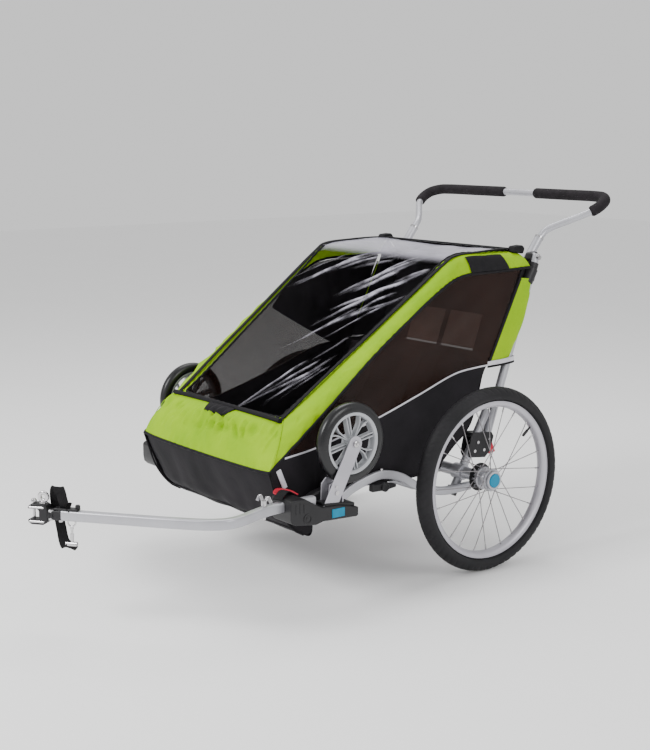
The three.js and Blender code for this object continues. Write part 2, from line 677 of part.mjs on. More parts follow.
function couplerHead() {
  // A mouth that opens ahead, with ears round the level swivel pin behind it.
  const side = [[hitchPitch - 7, -8], [hitchPitch + 8, -22], [couplerPin + 12, -25], [couplerPin + 14, couplerTop - 2],
    [hitchPitch + 8, couplerTop], [hitchPitch - 7, 8]];
  const shape = new THREE.Shape(side.map(([x, z]) => new THREE.Vector2(x, z)));
  const block = new THREE.ExtrudeGeometry(shape, { depth: 28, bevelEnabled: false })
    .rotateX(Math.PI / 2).translate(0, 14, 0);
  const mouth = box(hitchPitch + 14, couplerPin + 30, -30, 30, -13, 13);
  const eyeSlot = box(hitchPitch - 20, hitchPitch + 9, -5.8, 5.8, -40, 40);
  const pinBore = rod([couplerPin, 0, -40], [couplerPin, 0, 40], 4 + runClearance, 12);
  const crossBore = rod([hitchPitch, -20, 0], [hitchPitch, 20, 0], 4 + runClearance, 12);
  const strapEye = new THREE.TorusGeometry(10, 3.6, 6, 14).rotateX(Math.PI / 2).translate(couplerEye, 0, 35);
  return join(cut(block, mouth, eyeSlot, pinBore, crossBore), strapEye);
}

function hitchPinSolid() {
  return join(rod([couplerPin, 0, -28], [couplerPin, 0, couplerTop + 3], 4, 12),
    rod([couplerPin, 0, couplerTop + clearance], [couplerPin, 0, couplerTop + 5], 7, 12));
}

add('hitch_fork', hitchFork(), 'blackPlastic', hitch);
add('hitch_swivel', hitchSwivel(), 'chrome', hitch);
add('coupler_head', couplerHead(), 'blackPlastic', hitch);
add('hitch_pin', hitchPinSolid(), 'chrome', hitch);

const strapWidth = 25;
const strapThickness = 2.4;
const armTop = armHeight / 2;

function safetyStrap() {
  // From the plate on the arm's top, up over the coupler, down behind it and back to the clip.
  return ribbon([
    [-52, 0, armTop + 3.4], [-30, 0, armTop + 4], [-20, 8, armTop + 22], [-8, 18, armTop + 52],
    [2, 27, armTop + 62], [10, 33, armTop + 52], [14, 36, armTop + 20], [14, 36, -20], [8, 34, -52],
    [-6, 26, -74], [-22, 14, -79], [-37, 0, -76],
  ].map(([x, y, z]) => [x, -y, z]), new THREE.Vector3(0.55, 0.83, 0), strapWidth, strapThickness);
}

function strapClip() {
  const ring = new THREE.TorusGeometry(11, 1.6, 6, 14).rotateX(Math.PI / 2).translate(-37, 0, -armTop - 12.9);
  const shank = rod([-37, 0, -armTop - 22], [-37, 0, -64], 2.6, 8);
  return join(ring, shank, rod([-45, 0, -66], [-29, 0, -66], 4.5, 10));
}

add('safety_strap', safetyStrap(), 'webbing', hitch);
add('strap_clip', strapClip(), 'chrome', hitch);

// ---- cabin: cloth body on the frame, with window film, seat and harnesses ----
const nose = [-642, 343];
const frontLow = [-591, 464];      // window's lower edge
const roofFront = [-40, 836];
const roofRear = [199, 841];
const rearTop = [240, 806];
const floorHeight = 264;
const wellFloor = 166;
const underside = [[-607, 240], [-594, 212], [-566, 188], [-536, wellFloor], [-508, wellFloor + 4], [-496, floorHeight],
  [-90, floorHeight], [-66, 290], [-28, 325], [30, 378], [78, 533], [190, 766]];

const roofOutline = [nose, ...underside, rearTop, roofRear, roofFront, frontLow];
const sideOutline = [[-638, 341], ...underside, [228, 792], [190, 794], [-14, 788], [-372, 562]];

function inset(outline, wall) {
  // The outline moved inwards by the wall, along the mean of its two neighbouring edges' normals.
  const count = outline.length;
  let area = 0;
  outline.forEach(([y, z], i) => {
    const [y2, z2] = outline[(i + 1) % count];
    area += y * z2 - y2 * z;
  });
  const turn = Math.sign(area);
  return outline.map((p, i) => {
    const before = outline[(i + count - 1) % count];
    const after = outline[(i + 1) % count];
    const [d1, d2] = [unit(before, p), unit(p, after)];
    const n1 = [-d1[1] * turn, d1[0] * turn];
    const n2 = [-d2[1] * turn, d2[0] * turn];
    const m = [n1[0] + n2[0], n1[1] + n2[1]];
    const scale = wall / Math.max(0.35, (m[0] * n1[0] + m[1] * n1[1]));
    return [p[0] + m[0] * scale, p[1] + m[1] * scale];
  });
}

const stations = (outer, wall) => [
  { x: -sideHalfWidth + wall, outline: inset(sideOutline, wall) },
  { x: -roofHalfWidth + wall, outline: inset(outer, wall) },
  { x: roofHalfWidth - wall, outline: inset(outer, wall) },
  { x: sideHalfWidth - wall, outline: inset(sideOutline, wall) },
];

const windowInset = 34;
const frontUp = unit(frontLow, roofFront);
const sideWindowOutline = [[-505, 420], [-330, 465], [-40, 560], [60, 575], [150, 755], [0, 758], [-345, 545]];

function cabinCloth() {
  const outside = lofted(stations(roofOutline, 0));
  const inside = lofted(stations(roofOutline, clothWall));
  const openFront = prismX([
    offsetAlong(offsetAlong(frontLow, frontUp, 12), [-frontUp[1], frontUp[0]], 30),
    offsetAlong(offsetAlong(frontLow, frontUp, 12), [frontUp[1], -frontUp[0]], 30),
    [roofFront[0] + 20, roofFront[1] - 40], [roofRear[0] - 12, roofRear[1] - 40],
    [roofRear[0] - 12, roofRear[1] + 40], [roofFront[0] - 30, roofFront[1] + 40],
  ], -roofHalfWidth + windowInset, roofHalfWidth - windowInset);
  const openSides = prismX(sideWindowOutline, -sideHalfWidth - 20, sideHalfWidth + 20);
  return cut(outside, inside, openFront, openSides);
}

function windowCover() {
  // Clear film over the front and roof openings, standing just off the cloth.
  const off = 1.0;
  const film = 3;
  const normal = [-frontUp[1], frontUp[0]];
  const low = offsetAlong(frontLow, frontUp, 4);
  const bend = [roofFront[0], roofFront[1]];
  const back = [roofRear[0] - 2, roofRear[1]];
  const outline = [
    offsetAlong(low, normal, off), offsetAlong(bend, [-0.35, 1], off), offsetAlong(back, [0, 1], off),
    offsetAlong(back, [0, 1], off + film), offsetAlong(bend, [-0.35, 1], off + film + 0.4),
    offsetAlong(low, normal, off + film),
  ];
  return prismX(outline, -roofHalfWidth + windowInset - 16, roofHalfWidth - windowInset + 16);
}

function sideWindow() {
  const outline = inset(sideWindowOutline, 1.5);
  return prismX(outline, sideHalfWidth - 3.2, sideHalfWidth - 0.8);
}

const seatHalfWidth = 250;

function seat() {
  // Sling seat and back for two, cushion thickness included.
  return prismX([[-350, 290], [-106, 276], [-80, 302], [36, 480], [66, 542], [43, 552], [14, 492], [-92, 318],
    [-120, 306], [-350, 318]], -seatHalfWidth, seatHalfWidth);
}

function harness() {
  // Two shoulder straps meeting at a buckle, and a crotch strap down to the seat.
  const across = axisX;
  const shoulder = (dx) => ribbon([[125 + dx, 28, 548], [125 + dx * 0.9, -4, 494], [125 + dx * 0.5, -60, 430],
    [125, -104, 388]], across, 24, 2.4);
  const buckle = box(104, 146, -116, -98, 368, 406);
  const crotch = ribbon([[125, -108, 384], [125, -140, 350], [125, -160, 322]], across, 24, 2.4);
  return join(shoulder(-44), shoulder(44), buckle, crotch);
}

function rearSleeve() {
  // Cloth sleeve round the upright at the cabin's rear corner.
  const outline = [[90, 548], [182, 553], [266, 756], [203, 768]];
  const sleeve = prismX(outline, postX - postRadius - 6.5, postX + postRadius + 3);
  const tunnel = rod([postX, ...uprightLow], [postX, ...uprightTop], postRadius + 1, 12);
  return cut(sleeve, tunnel);
}

add('cabin_cloth', cabinCloth(), 'lime');
add('window_cover', windowCover(), 'film');
addPair('side_window', sideWindow(), 'mesh');
add('seat', seat(), 'blackCloth');
addPair('harness', harness(), 'webbing');
addPair('rear_sleeve', rearSleeve(), 'lime');

// ---- origin: under the middle of the whole trailer's box ----
trailer.updateMatrixWorld(true);
const extent = new THREE.Box3().setFromObject(trailer);
const middle = extent.getCenter(new THREE.Vector3());
const onGround = new THREE.Group();
onGround.name = 'trailer_on_ground';
trailer.position.set(-middle.x, -middle.y, -extent.min.z);
onGround.add(trailer);

export default onGround;
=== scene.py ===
# %% [markdown]
# # Child bicycle trailer
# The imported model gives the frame: every tube, pin and wheel already has its place. This file
# gives each piece its finished surface. The camera is set first, then the finishes, then the
# pieces from the wheels outwards, and the cloth last.

# %% Load the frame
import json
import math

import bmesh
import bpy
import numpy as np
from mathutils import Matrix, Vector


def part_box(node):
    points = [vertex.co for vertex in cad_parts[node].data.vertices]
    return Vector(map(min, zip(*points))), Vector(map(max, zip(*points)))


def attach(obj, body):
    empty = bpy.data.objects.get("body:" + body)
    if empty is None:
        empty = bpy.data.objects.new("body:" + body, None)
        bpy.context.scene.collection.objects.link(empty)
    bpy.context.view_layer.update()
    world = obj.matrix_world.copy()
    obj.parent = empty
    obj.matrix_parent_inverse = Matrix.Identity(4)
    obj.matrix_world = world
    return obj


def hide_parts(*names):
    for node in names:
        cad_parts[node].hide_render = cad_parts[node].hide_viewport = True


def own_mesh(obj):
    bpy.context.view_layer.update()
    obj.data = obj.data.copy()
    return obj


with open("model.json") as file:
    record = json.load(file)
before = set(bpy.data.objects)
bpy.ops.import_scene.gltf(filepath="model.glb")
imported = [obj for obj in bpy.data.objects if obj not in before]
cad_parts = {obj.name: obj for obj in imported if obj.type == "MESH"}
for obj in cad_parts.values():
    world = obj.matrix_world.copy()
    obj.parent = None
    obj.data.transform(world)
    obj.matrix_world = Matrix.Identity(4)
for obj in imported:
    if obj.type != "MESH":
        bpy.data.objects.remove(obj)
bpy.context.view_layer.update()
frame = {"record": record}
MM = 0.001
tyre_low, tyre_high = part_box("left_tyre")
AXLE_Y = (tyre_low.y + tyre_high.y) / 2
WHEEL_R = (tyre_high.z - tyre_low.z) / 2
TRACK = (tyre_high.x + tyre_low.x) / 2
print("axle at y", round(AXLE_Y, 4), "wheel radius", round(WHEEL_R, 4), "half track", round(TRACK, 4))

# %% [markdown]
# ## Units and mesh making
# Shapes are worked out in millimetres with the axle at y = 0, because that is how a frame
# builder measures, and are turned to metres once. A surface is a grid of points, or a section
# carried along a path; both give quads in rows, so one helper joins them up.

# %% Helpers for points, paths and meshes
SIDES = (("left", 1), ("right", -1))


def metres(points):
    """Millimetres about the axle to metres in the frame: scale, then add the axle's y."""
    return np.asarray(points, float) * MM + np.array([0.0, AXLE_Y, 0.0])


def unit(v):
    v = np.asarray(v, float)
    return v / np.maximum(np.linalg.norm(v, axis=-1, keepdims=True), 1e-12)


BODY = {n: b for b, nodes in frame["record"]["behaviour"]["bodies"].items() for n in nodes}


def piece(name, shape, material, replaces=(), body=None, smooth=True, closed=True):
    """One mesh object from (points in millimetres, faces). It rides the body of the node it stands
    for. A closed shape has its faces turned outwards."""
    points, faces = shape
    mesh = bpy.data.meshes.new(name)
    mesh.from_pydata(metres(points).tolist(), [], [tuple(int(i) for i in f) for f in faces])
    mesh.materials.append(material)
    mesh.update()
    obj = bpy.data.objects.new(name, mesh)
    bpy.context.scene.collection.objects.link(obj)
    if closed:
        outward(obj)
    mesh.polygons.foreach_set("use_smooth", np.full(len(mesh.polygons), smooth))
    if smooth:
        mesh.set_sharp_from_angle(angle=math.radians(38))
    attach(obj, body or BODY[replaces[0]])
    if replaces:
        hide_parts(*replaces)
    return obj


def outward(obj, merge=1e-6):
    """Doubles merged and faces turned outwards."""
    bm = bmesh.new()
    bm.from_mesh(obj.data)
    bmesh.ops.remove_doubles(bm, verts=bm.verts, dist=merge)
    bmesh.ops.dissolve_degenerate(bm, dist=merge, edges=bm.edges)
    bmesh.ops.recalc_face_normals(bm, faces=bm.faces)
    bm.to_mesh(obj.data)
    bm.free()


def mirrored(shape, s):
    """The shape itself for s = 1, its mirror image across x = 0 for s = -1."""
    return shape[0] * np.array([s, 1, 1]), shape[1]


def grid_faces(rows, columns, wrap_rows=False, wrap_columns=False, start=0):
    """Quads of a grid whose point (i, j) has index start + i * columns + j."""
    i = np.arange(rows if wrap_rows else rows - 1)
    j = np.arange(columns if wrap_columns else columns - 1)
    i, j = [a.ravel() for a in np.meshgrid(i, j, indexing="ij")]
    i2, j2 = (i + 1) % rows, (j + 1) % columns
    return start + np.stack([i * columns + j, i2 * columns + j, i2 * columns + j2, i * columns + j2], 1)


def spline(points, count, closed=False):
    """Points along a centripetal Catmull-Rom curve through the given ones, evenly spaced by length."""
    p = np.asarray(points, float)
    ends = (p[-1:], p[:2]) if closed else (2 * p[:1] - p[1:2], 2 * p[-1:] - p[-2:-1])
    q = np.concatenate([ends[0], p, ends[1]])
    dense = []
    for a, b, c, d in zip(q[:-3], q[1:-2], q[2:-1], q[3:]):
        t = np.linspace(0, 1, 24, endpoint=False)[:, None]
        k = [np.linalg.norm(v) ** 0.5 + 1e-9 for v in (b - a, c - b, d - c)]
        m1 = k[1] * ((b - a) / k[0] - (c - a) / (k[0] + k[1]) + (c - b) / k[1])
        m2 = k[1] * ((c - b) / k[1] - (d - b) / (k[1] + k[2]) + (d - c) / k[2])
        dense.append((2 * t**3 - 3 * t**2 + 1) * b + (t**3 - 2 * t**2 + t) * m1
                     + (-2 * t**3 + 3 * t**2) * c + (t**3 - t**2) * m2)
    dense = np.concatenate(dense + ([] if closed else [p[-1:]]))
    if closed:
        dense = np.concatenate([dense, dense[:1]])
    length = np.concatenate([[0], np.cumsum(np.linalg.norm(np.diff(dense, axis=0), axis=1))])
    at = np.linspace(0, length[-1], count + 1 if closed else count)
    out = np.stack([np.interp(at, length, dense[:, k]) for k in range(3)], 1)
    return out[:-1] if closed else out


def frames(path, up, closed=False):
    """Tangents along a path, and two crosswise unit vectors kept as level as `up` allows."""
    if closed:
        tangent = unit(np.roll(path, -1, 0) - np.roll(path, 1, 0))
    else:
        tangent = unit(np.gradient(path, axis=0))
    side = unit(np.cross(tangent, np.broadcast_to(np.asarray(up, float), path.shape)))
    return tangent, side, unit(np.cross(side, tangent))


def sweep(path, section, up=(0, 0, 1), scale=None, closed=False):
    """A closed section of (across, upright) points carried along a path; flat caps on open ends."""
    path = np.asarray(path, float)
    section = np.asarray(section, float)
    _, side, rise = frames(path, up, closed)
    k = np.ones(len(path)) if scale is None else np.asarray(scale, float)
    points = (path[:, None, :] + side[:, None, :] * (section[None, :, 0:1] * k[:, None, None])
              + rise[:, None, :] * (section[None, :, 1:2] * k[:, None, None]))
    n, m = points.shape[:2]
    faces = [tuple(f) for f in grid_faces(n, m, wrap_rows=closed, wrap_columns=True)[:, ::-1]]
    if not closed:
        faces.append(tuple(range(m)))
        faces.append(tuple(range(n * m - 1, (n - 1) * m - 1, -1)))
    return points.reshape(-1, 3), faces


def round_section(radius, sides=20):
    t = np.linspace(0, 2 * math.pi, sides, endpoint=False)
    return np.stack([radius * np.cos(t), radius * np.sin(t)], 1)


def soft_rectangle(width, height, corner, per_corner=4):
    """A rectangle's outline with round corners, anticlockwise."""
    t = np.linspace(0, math.pi / 2, per_corner)
    rows = []
    for k, (sx, sy) in enumerate([(1, 1), (-1, 1), (-1, -1), (1, -1)]):
        centre = np.array([sx * (width / 2 - corner), sy * (height / 2 - corner)])
        a = t + k * math.pi / 2
        rows.append(centre + corner * np.stack([np.cos(a), np.sin(a)], 1))
    return np.concatenate(rows)


def turned(profile, centre, steps=64, axis=0):
    """A profile of (radius, along) points turned about an axis through `centre`; closed on itself
    or on the axis."""
    profile = np.asarray(profile, float)
    t = np.linspace(0, 2 * math.pi, steps, endpoint=False)
    along = np.broadcast_to(profile[None, :, 1], (steps, len(profile)))
    b = profile[None, :, 0] * np.cos(t)[:, None]
    c = profile[None, :, 0] * np.sin(t)[:, None]
    order = {0: (along, b, c), 1: (c, along, b), 2: (b, c, along)}[axis]
    points = np.stack(order, -1) + np.asarray(centre, float)
    faces = grid_faces(steps, len(profile), wrap_rows=True, wrap_columns=True)
    return points.reshape(-1, 3), faces


def together(*parts):
    """Several (points, faces) as one."""
    points, faces, start = [], [], 0
    for p, f in parts:
        points.append(np.asarray(p, float))
        faces += [tuple(int(i) + start for i in row) for row in f]
        start += len(p)
    return np.concatenate(points), faces


def bevelled(obj, width, segments=3, angle=35):
    """Rounded edges of a moulded or machined piece, shaded smooth between its flat faces."""
    m = obj.modifiers.new("edges", "BEVEL")
    m.width, m.segments, m.limit_method, m.angle_limit = width * MM, segments, "ANGLE", math.radians(angle)
    m.harden_normals = True
    return obj


def prism_x(outline, x_low, x_high):
    """A flat outline of (y, z) points given width along X: two caps and a band of quads."""
    o = np.asarray(outline, float)
    n = len(o)
    points = np.concatenate([np.column_stack([np.full(n, x), o]) for x in (x_low, x_high)])
    faces = [tuple(range(n)), tuple(range(2 * n - 1, n - 1, -1))]
    faces += [(i, n + i, n + (i + 1) % n, (i + 1) % n) for i in range(n)]
    return points, faces


def shell(grid, thickness, wrap_rows=False, inside=(0, -200, 520)):
    """A closed sheet: the grid of points, the same grid moved by the thickness towards the side
    where the `inside` point lies, and rims."""
    n, m = grid.shape[:2]
    normals = grid_normals(grid, wrap_rows)
    facing = np.sign((normals * (grid - np.asarray(inside, float))).sum())
    inner = grid - normals * facing * thickness
    outer_faces = grid_faces(n, m, wrap_rows)
    inner_faces = grid_faces(n, m, wrap_rows, start=n * m)[:, ::-1]
    rows = range(n if wrap_rows else n - 1)
    rim = []
    for j in (0, m - 1):
        rim += [(i * m + j, ((i + 1) % n) * m + j, ((i + 1) % n) * m + j + n * m, i * m + j + n * m)
                for i in rows]
    if not wrap_rows:
        for i in (0, n - 1):
            rim += [(i * m + j, i * m + j + 1, i * m + j + 1 + n * m, i * m + j + n * m)
                    for j in range(m - 1)]
    points = np.concatenate([grid.reshape(-1, 3), inner.reshape(-1, 3)])
    return points, [tuple(f) for f in outer_faces] + [tuple(f) for f in inner_faces] + rim


def block(x, y, z):
    """A box from ranges of x, y and z."""
    outline = [(y[0], z[0]), (y[1], z[0]), (y[1], z[1]), (y[0], z[1])]
    return prism_x(outline, x[0], x[1])


def rod(a, b, radius, sides=20):
    """A straight round bar between two points."""
    a, b = np.asarray(a, float), np.asarray(b, float)
    up = (0, 0, 1) if abs(unit(b - a)[2]) < 0.9 else (0, 1, 0)
    return sweep(np.stack([a, b]), round_section(radius, sides), up)


def ripple(points, normals, amount, wave, seed, octaves=3):
    """Moves points along their normals by a sum of seeded sine waves: broad creases in cloth."""
    rng = np.random.default_rng(seed)
    total = np.zeros(points.shape[:-1])
    for k in range(octaves):
        direction = unit(rng.normal(size=3))
        bend = unit(rng.normal(size=3))
        phase = rng.uniform(0, 2 * math.pi, 2)
        f = 2 * math.pi / wave * 1.7**k
        total += 0.6**k * np.sin(f * points @ direction + phase[0] + 1.3
                                 * np.sin(f * 0.4 * points @ bend + phase[1]))
    return points + normals * (total * amount)[..., None]


def grid_normals(points, wrap_rows=False):
    if wrap_rows:
        along = np.roll(points, -1, 0) - np.roll(points, 1, 0)
    else:
        along = np.gradient(points, axis=0)
    return unit(np.cross(along, np.gradient(points, axis=1)))


# %% [markdown]
# ## Camera, light and floor
# The camera looks from the front left corner, a little above the handle's height. Its place is
# given as a point, and its aim as a turn round from straight ahead and a tilt. The light is a plain
# white studio: a pale floor, a white world and three large soft lights, so that clear film and metal
# have something to mirror.

# %% Camera
CAMERA_AZIMUTH = 52.156      # degrees round from straight ahead of the trailer's front
CAMERA_ELEVATION = 10.163
CAMERA_AT = (2947.8, -2531.6, 1171.5)
FOCAL_LENGTHS = 1.83103      # focal length over the sensor's long side

scene = bpy.context.scene
camera_data = bpy.data.cameras.new("camera")
camera_data.sensor_fit = "VERTICAL"
camera_data.sensor_height = 36.0
camera_data.lens = 36.0 * FOCAL_LENGTHS
camera = bpy.data.objects.new("camera", camera_data)
scene.collection.objects.link(camera)
camera.location = metres([CAMERA_AT])[0]
camera.rotation_euler = (math.radians(90 - CAMERA_ELEVATION), 0, math.radians(CAMERA_AZIMUTH))
scene.camera = camera
print("camera at", [round(v, 3) for v in camera.location])

# %% Studio
world = bpy.data.worlds.new("studio")
scene.world = world
world.use_nodes = True
world.node_tree.nodes["Background"].inputs["Color"].default_value = (1, 1, 1, 1)
world.node_tree.nodes["Background"].inputs["Strength"].default_value = 0.9


def soft_light(name, place, aim, size, power):
    light = bpy.data.lights.new(name, "AREA")
    light.shape, light.size, light.energy = "SQUARE", size, power
    obj = bpy.data.objects.new(name, light)
    scene.collection.objects.link(obj)
    obj.location = place
    direction = np.array(aim, float) - np.array(place, float)
    flat = math.hypot(direction[0], direction[1])
    obj.rotation_euler = (math.atan2(flat, -direction[2]), 0, math.atan2(direction[1], direction[0])
                          - math.pi / 2)


soft_light("key", (-0.4, -3.4, 3.0), (0, 0, 0.5), 1.5, 150)
soft_light("fill", (3.6, 0.6, 2.2), (0, 0, 0.5), 1.8, 50)
soft_light("top", (-0.8, 0.9, 3.6), (0, 0, 0.4), 2.2, 60)

floor_mesh = bpy.data.meshes.new("floor")
floor_mesh.from_pydata([(-12, -12, 0), (12, -12, 0), (12, 12, 0), (-12, 12, 0)], [], [(0, 1, 2, 3)])
floor = bpy.data.objects.new("floor", floor_mesh)
scene.collection.objects.link(floor)

# %% [markdown]
# ## Finishes
# Each finish is a small node tree on object coordinates: a base colour with some drift, a fine
# relief for weave, grain or brushing, and roughness that isn't quite even. Numbers that are the
# same everywhere sit on the shader's own sockets.

# %% Finish helpers


def finish(name, roughness=0.5, metallic=0.0, color=None, **sockets):
    """A material with its Principled shader and an object coordinate node."""
    m = bpy.data.materials.new(name)
    m.use_nodes = True
    tree = m.node_tree
    shader = tree.nodes["Principled BSDF"]
    shader.inputs["Roughness"].default_value = roughness
    shader.inputs["Metallic"].default_value = metallic
    if color is not None:
        shader.inputs["Base Color"].default_value = (*color, 1)
        m.diffuse_color = (*color, 1)
    for key, value in sockets.items():
        shader.inputs[key.replace("_", " ")].default_value = value
    return m


def node(m, kind, settings=None, inputs=None):
    n = m.node_tree.nodes.new(kind)
    for key, value in (settings or {}).items():
        setattr(n, key, value)
    for key, value in (inputs or {}).items():
        n.inputs[key].default_value = value
    return n


def link(m, source, output, target, socket):
    m.node_tree.links.new(source.outputs[output], target.inputs[socket])


def object_space(m):
    found = [n for n in m.node_tree.nodes if n.bl_idname == "ShaderNodeTexCoord"]
    return found[0] if found else node(m, "ShaderNodeTexCoord")


def drift(m, dark, light, scale, detail=4.0, low=0.3, high=0.7, contrast_source=None):
    """Base colour that wanders between two tones over a noise of the given scale."""
    noise = node(m, "ShaderNodeTexNoise", None, {"Scale": scale, "Detail": detail, "Roughness": 0.6})
    link(m, object_space(m), "Object", noise, "Vector")
    ramp = node(m, "ShaderNodeValToRGB")
    ramp.color_ramp.elements[0].position, ramp.color_ramp.elements[1].position = low, high
    ramp.color_ramp.elements[0].color = (*dark, 1)
    ramp.color_ramp.elements[1].color = (*light, 1)
    link(m, noise, "Fac", ramp, "Fac")
    link(m, ramp, "Color", m.node_tree.nodes["Principled BSDF"], "Base Color")
    return noise, ramp


def relief(m, height, output, strength, distance):
    """Bump from a height, chained on any bump already there."""
    shader = m.node_tree.nodes["Principled BSDF"]
    bump = node(m, "ShaderNodeBump", None, {"Strength": strength, "Distance": distance})
    old = shader.inputs["Normal"].links
    if old:
        m.node_tree.links.new(old[0].from_socket, bump.inputs["Normal"])
    link(m, height, output, bump, "Height")
    link(m, bump, "Normal", shader, "Normal")


def noise_relief(m, scale, strength, distance, detail=3.0, stretch=(1, 1, 1)):
    noise = node(m, "ShaderNodeTexNoise", None, {"Scale": scale, "Detail": detail})
    mapping = node(m, "ShaderNodeMapping", None, {"Scale": stretch})
    link(m, object_space(m), "Object", mapping, "Vector")
    link(m, mapping, "Vector", noise, "Vector")
    relief(m, noise, "Fac", strength, distance)
    return noise


def uneven_roughness(m, scale, low, high, stretch=(1, 1, 1)):
    noise = node(m, "ShaderNodeTexNoise", None, {"Scale": scale, "Detail": 5.0})
    mapping = node(m, "ShaderNodeMapping", None, {"Scale": stretch})
    ramp = node(m, "ShaderNodeMapRange", None, {"To Min": low, "To Max": high, "From Min": 0.3,
                                                "From Max": 0.7})
    link(m, object_space(m), "Object", mapping, "Vector")
    link(m, mapping, "Vector", noise, "Vector")
    link(m, noise, "Fac", ramp, "Value")
    link(m, ramp, "Result", m.node_tree.nodes["Principled BSDF"], "Roughness")


def weave(m, pitch, strength, distance):
    """Over-and-under relief: the product of two sine waves across each other, a thread pitch apart."""
    waves = []
    for rotation in ((0.0, 0.0, 0.6), (0.9, 0.3, -0.9)):
        mapping = node(m, "ShaderNodeMapping", None, {"Rotation": rotation})
        wave = node(m, "ShaderNodeTexWave", {"wave_type": "BANDS"},
                    {"Scale": 0.314 / pitch, "Distortion": 0.4})
        link(m, object_space(m), "Object", mapping, "Vector")
        link(m, mapping, "Vector", wave, "Vector")
        waves.append(wave)
    product = node(m, "ShaderNodeMath", {"operation": "MULTIPLY"})
    for k, wave in enumerate(waves):
        m.node_tree.links.new(wave.outputs["Fac"], product.inputs[k])
    relief(m, product, "Value", strength, distance)


# %% Metals
aluminium = finish("satin_aluminium", 0.40, 0.62, (0.44, 0.44, 0.47))
drift(aluminium, (0.40, 0.40, 0.43), (0.49, 0.49, 0.52), 9)
noise_relief(aluminium, 260, 0.05, 0.0004, stretch=(1, 1, 0.15))
uneven_roughness(aluminium, 18, 0.34, 0.46)

flat_aluminium = finish("plate_aluminium", 0.45, 0.65, (0.46, 0.45, 0.49))
drift(flat_aluminium, (0.41, 0.40, 0.44), (0.51, 0.50, 0.54), 7)
noise_relief(flat_aluminium, 320, 0.05, 0.0004, stretch=(1, 0.12, 1))

steel = finish("plated_steel", 0.24, 1.0, (0.50, 0.49, 0.50))
uneven_roughness(steel, 60, 0.12, 0.3)
noise_relief(steel, 150, 0.08, 0.0005)

chrome = finish("bright_chrome", 0.1, 1.0, (0.60, 0.59, 0.60))
uneven_roughness(chrome, 90, 0.05, 0.16)

spoke_steel = finish("spoke_steel", 0.35, 0.9, (0.26, 0.25, 0.26))
drift(spoke_steel, (0.20, 0.19, 0.20), (0.34, 0.32, 0.33), 30)

# %% Plastics and rubbers
black_plastic = finish("moulded_black", 0.40, 0.0, (0.010, 0.010, 0.011), Specular_IOR_Level=0.35)
drift(black_plastic, (0.007, 0.007, 0.008), (0.014, 0.013, 0.015), 12)
noise_relief(black_plastic, 900, 0.12, 0.0003)
uneven_roughness(black_plastic, 14, 0.36, 0.5)

grey_plastic = finish("moulded_light_grey", 0.38, 0.0, (0.40, 0.41, 0.43), Specular_IOR_Level=0.3)
drift(grey_plastic, (0.36, 0.37, 0.39), (0.44, 0.45, 0.47), 20)
noise_relief(grey_plastic, 700, 0.06, 0.0003)

blue_plastic = finish("blue_release", 0.35, 0.0, (0.0, 0.20, 0.34), Specular_IOR_Level=0.2)
drift(blue_plastic, (0.0, 0.18, 0.31), (0.0, 0.22, 0.37), 40)
noise_relief(blue_plastic, 500, 0.05, 0.0003)

red_plastic = finish("red_release", 0.35, 0.0, (0.55, 0.004, 0.03), Coat_Weight=0.3)
drift(red_plastic, (0.48, 0.003, 0.025), (0.62, 0.006, 0.04), 40)

tyre_rubber = finish("tyre_rubber", 0.6, 0.0, (0.009, 0.009, 0.010), Specular_IOR_Level=0.25)
drift(tyre_rubber, (0.007, 0.007, 0.008), (0.013, 0.012, 0.014), 10)
noise_relief(tyre_rubber, 420, 0.18, 0.0005)
uneven_roughness(tyre_rubber, 9, 0.5, 0.72)

front_rubber = finish("front_tyre_rubber", 0.26, 0.0, (0.005, 0.005, 0.006), Specular_IOR_Level=0.45)
drift(front_rubber, (0.004, 0.004, 0.005), (0.007, 0.007, 0.008), 14)
uneven_roughness(front_rubber, 12, 0.22, 0.38)

grip_foam = finish("grip_foam", 0.9, 0.0, (0.013, 0.011, 0.013), Specular_IOR_Level=0.2)
drift(grip_foam, (0.010, 0.009, 0.010), (0.020, 0.017, 0.020), 60)
noise_relief(grip_foam, 1400, 0.45, 0.0006, detail=6)

# %% Cloths and film
lime_cloth = finish("lime_cloth", 0.6, 0.0, (0.27, 0.50, 0.0), Specular_IOR_Level=0.06)
drift(lime_cloth, (0.22, 0.42, 0.0), (0.30, 0.51, 0.0), 6)
weave(lime_cloth, 0.0016, 0.12, 0.0003)
noise_relief(lime_cloth, 24, 0.8, 0.0045, detail=2.5)
noise_relief(lime_cloth, 70, 0.3, 0.0012, detail=2.0)

black_cloth = finish("black_cloth", 0.75, 0.0, (0.009, 0.008, 0.010), Specular_IOR_Level=0.2)
drift(black_cloth, (0.006, 0.0055, 0.007), (0.013, 0.011, 0.014), 8)
weave(black_cloth, 0.0022, 0.15, 0.0004)
noise_relief(black_cloth, 18, 0.5, 0.004, detail=2.5)

binding_tape = finish("binding_tape", 0.7, 0.0, (0.005, 0.005, 0.006), Specular_IOR_Level=0.2)
drift(binding_tape, (0.004, 0.004, 0.005), (0.008, 0.007, 0.009), 40)
weave(binding_tape, 0.0016, 0.5, 0.0006)

webbing = finish("webbing", 0.75, 0.0, (0.006, 0.006, 0.007), Specular_IOR_Level=0.2)
drift(webbing, (0.004, 0.004, 0.005), (0.009, 0.008, 0.009), 50)
weave(webbing, 0.0020, 0.8, 0.0008)

red_webbing = finish("red_webbing", 0.65, 0.0, (0.5, 0.005, 0.03))
drift(red_webbing, (0.42, 0.004, 0.02), (0.58, 0.01, 0.04), 50)
weave(red_webbing, 0.0018, 0.7, 0.0007)

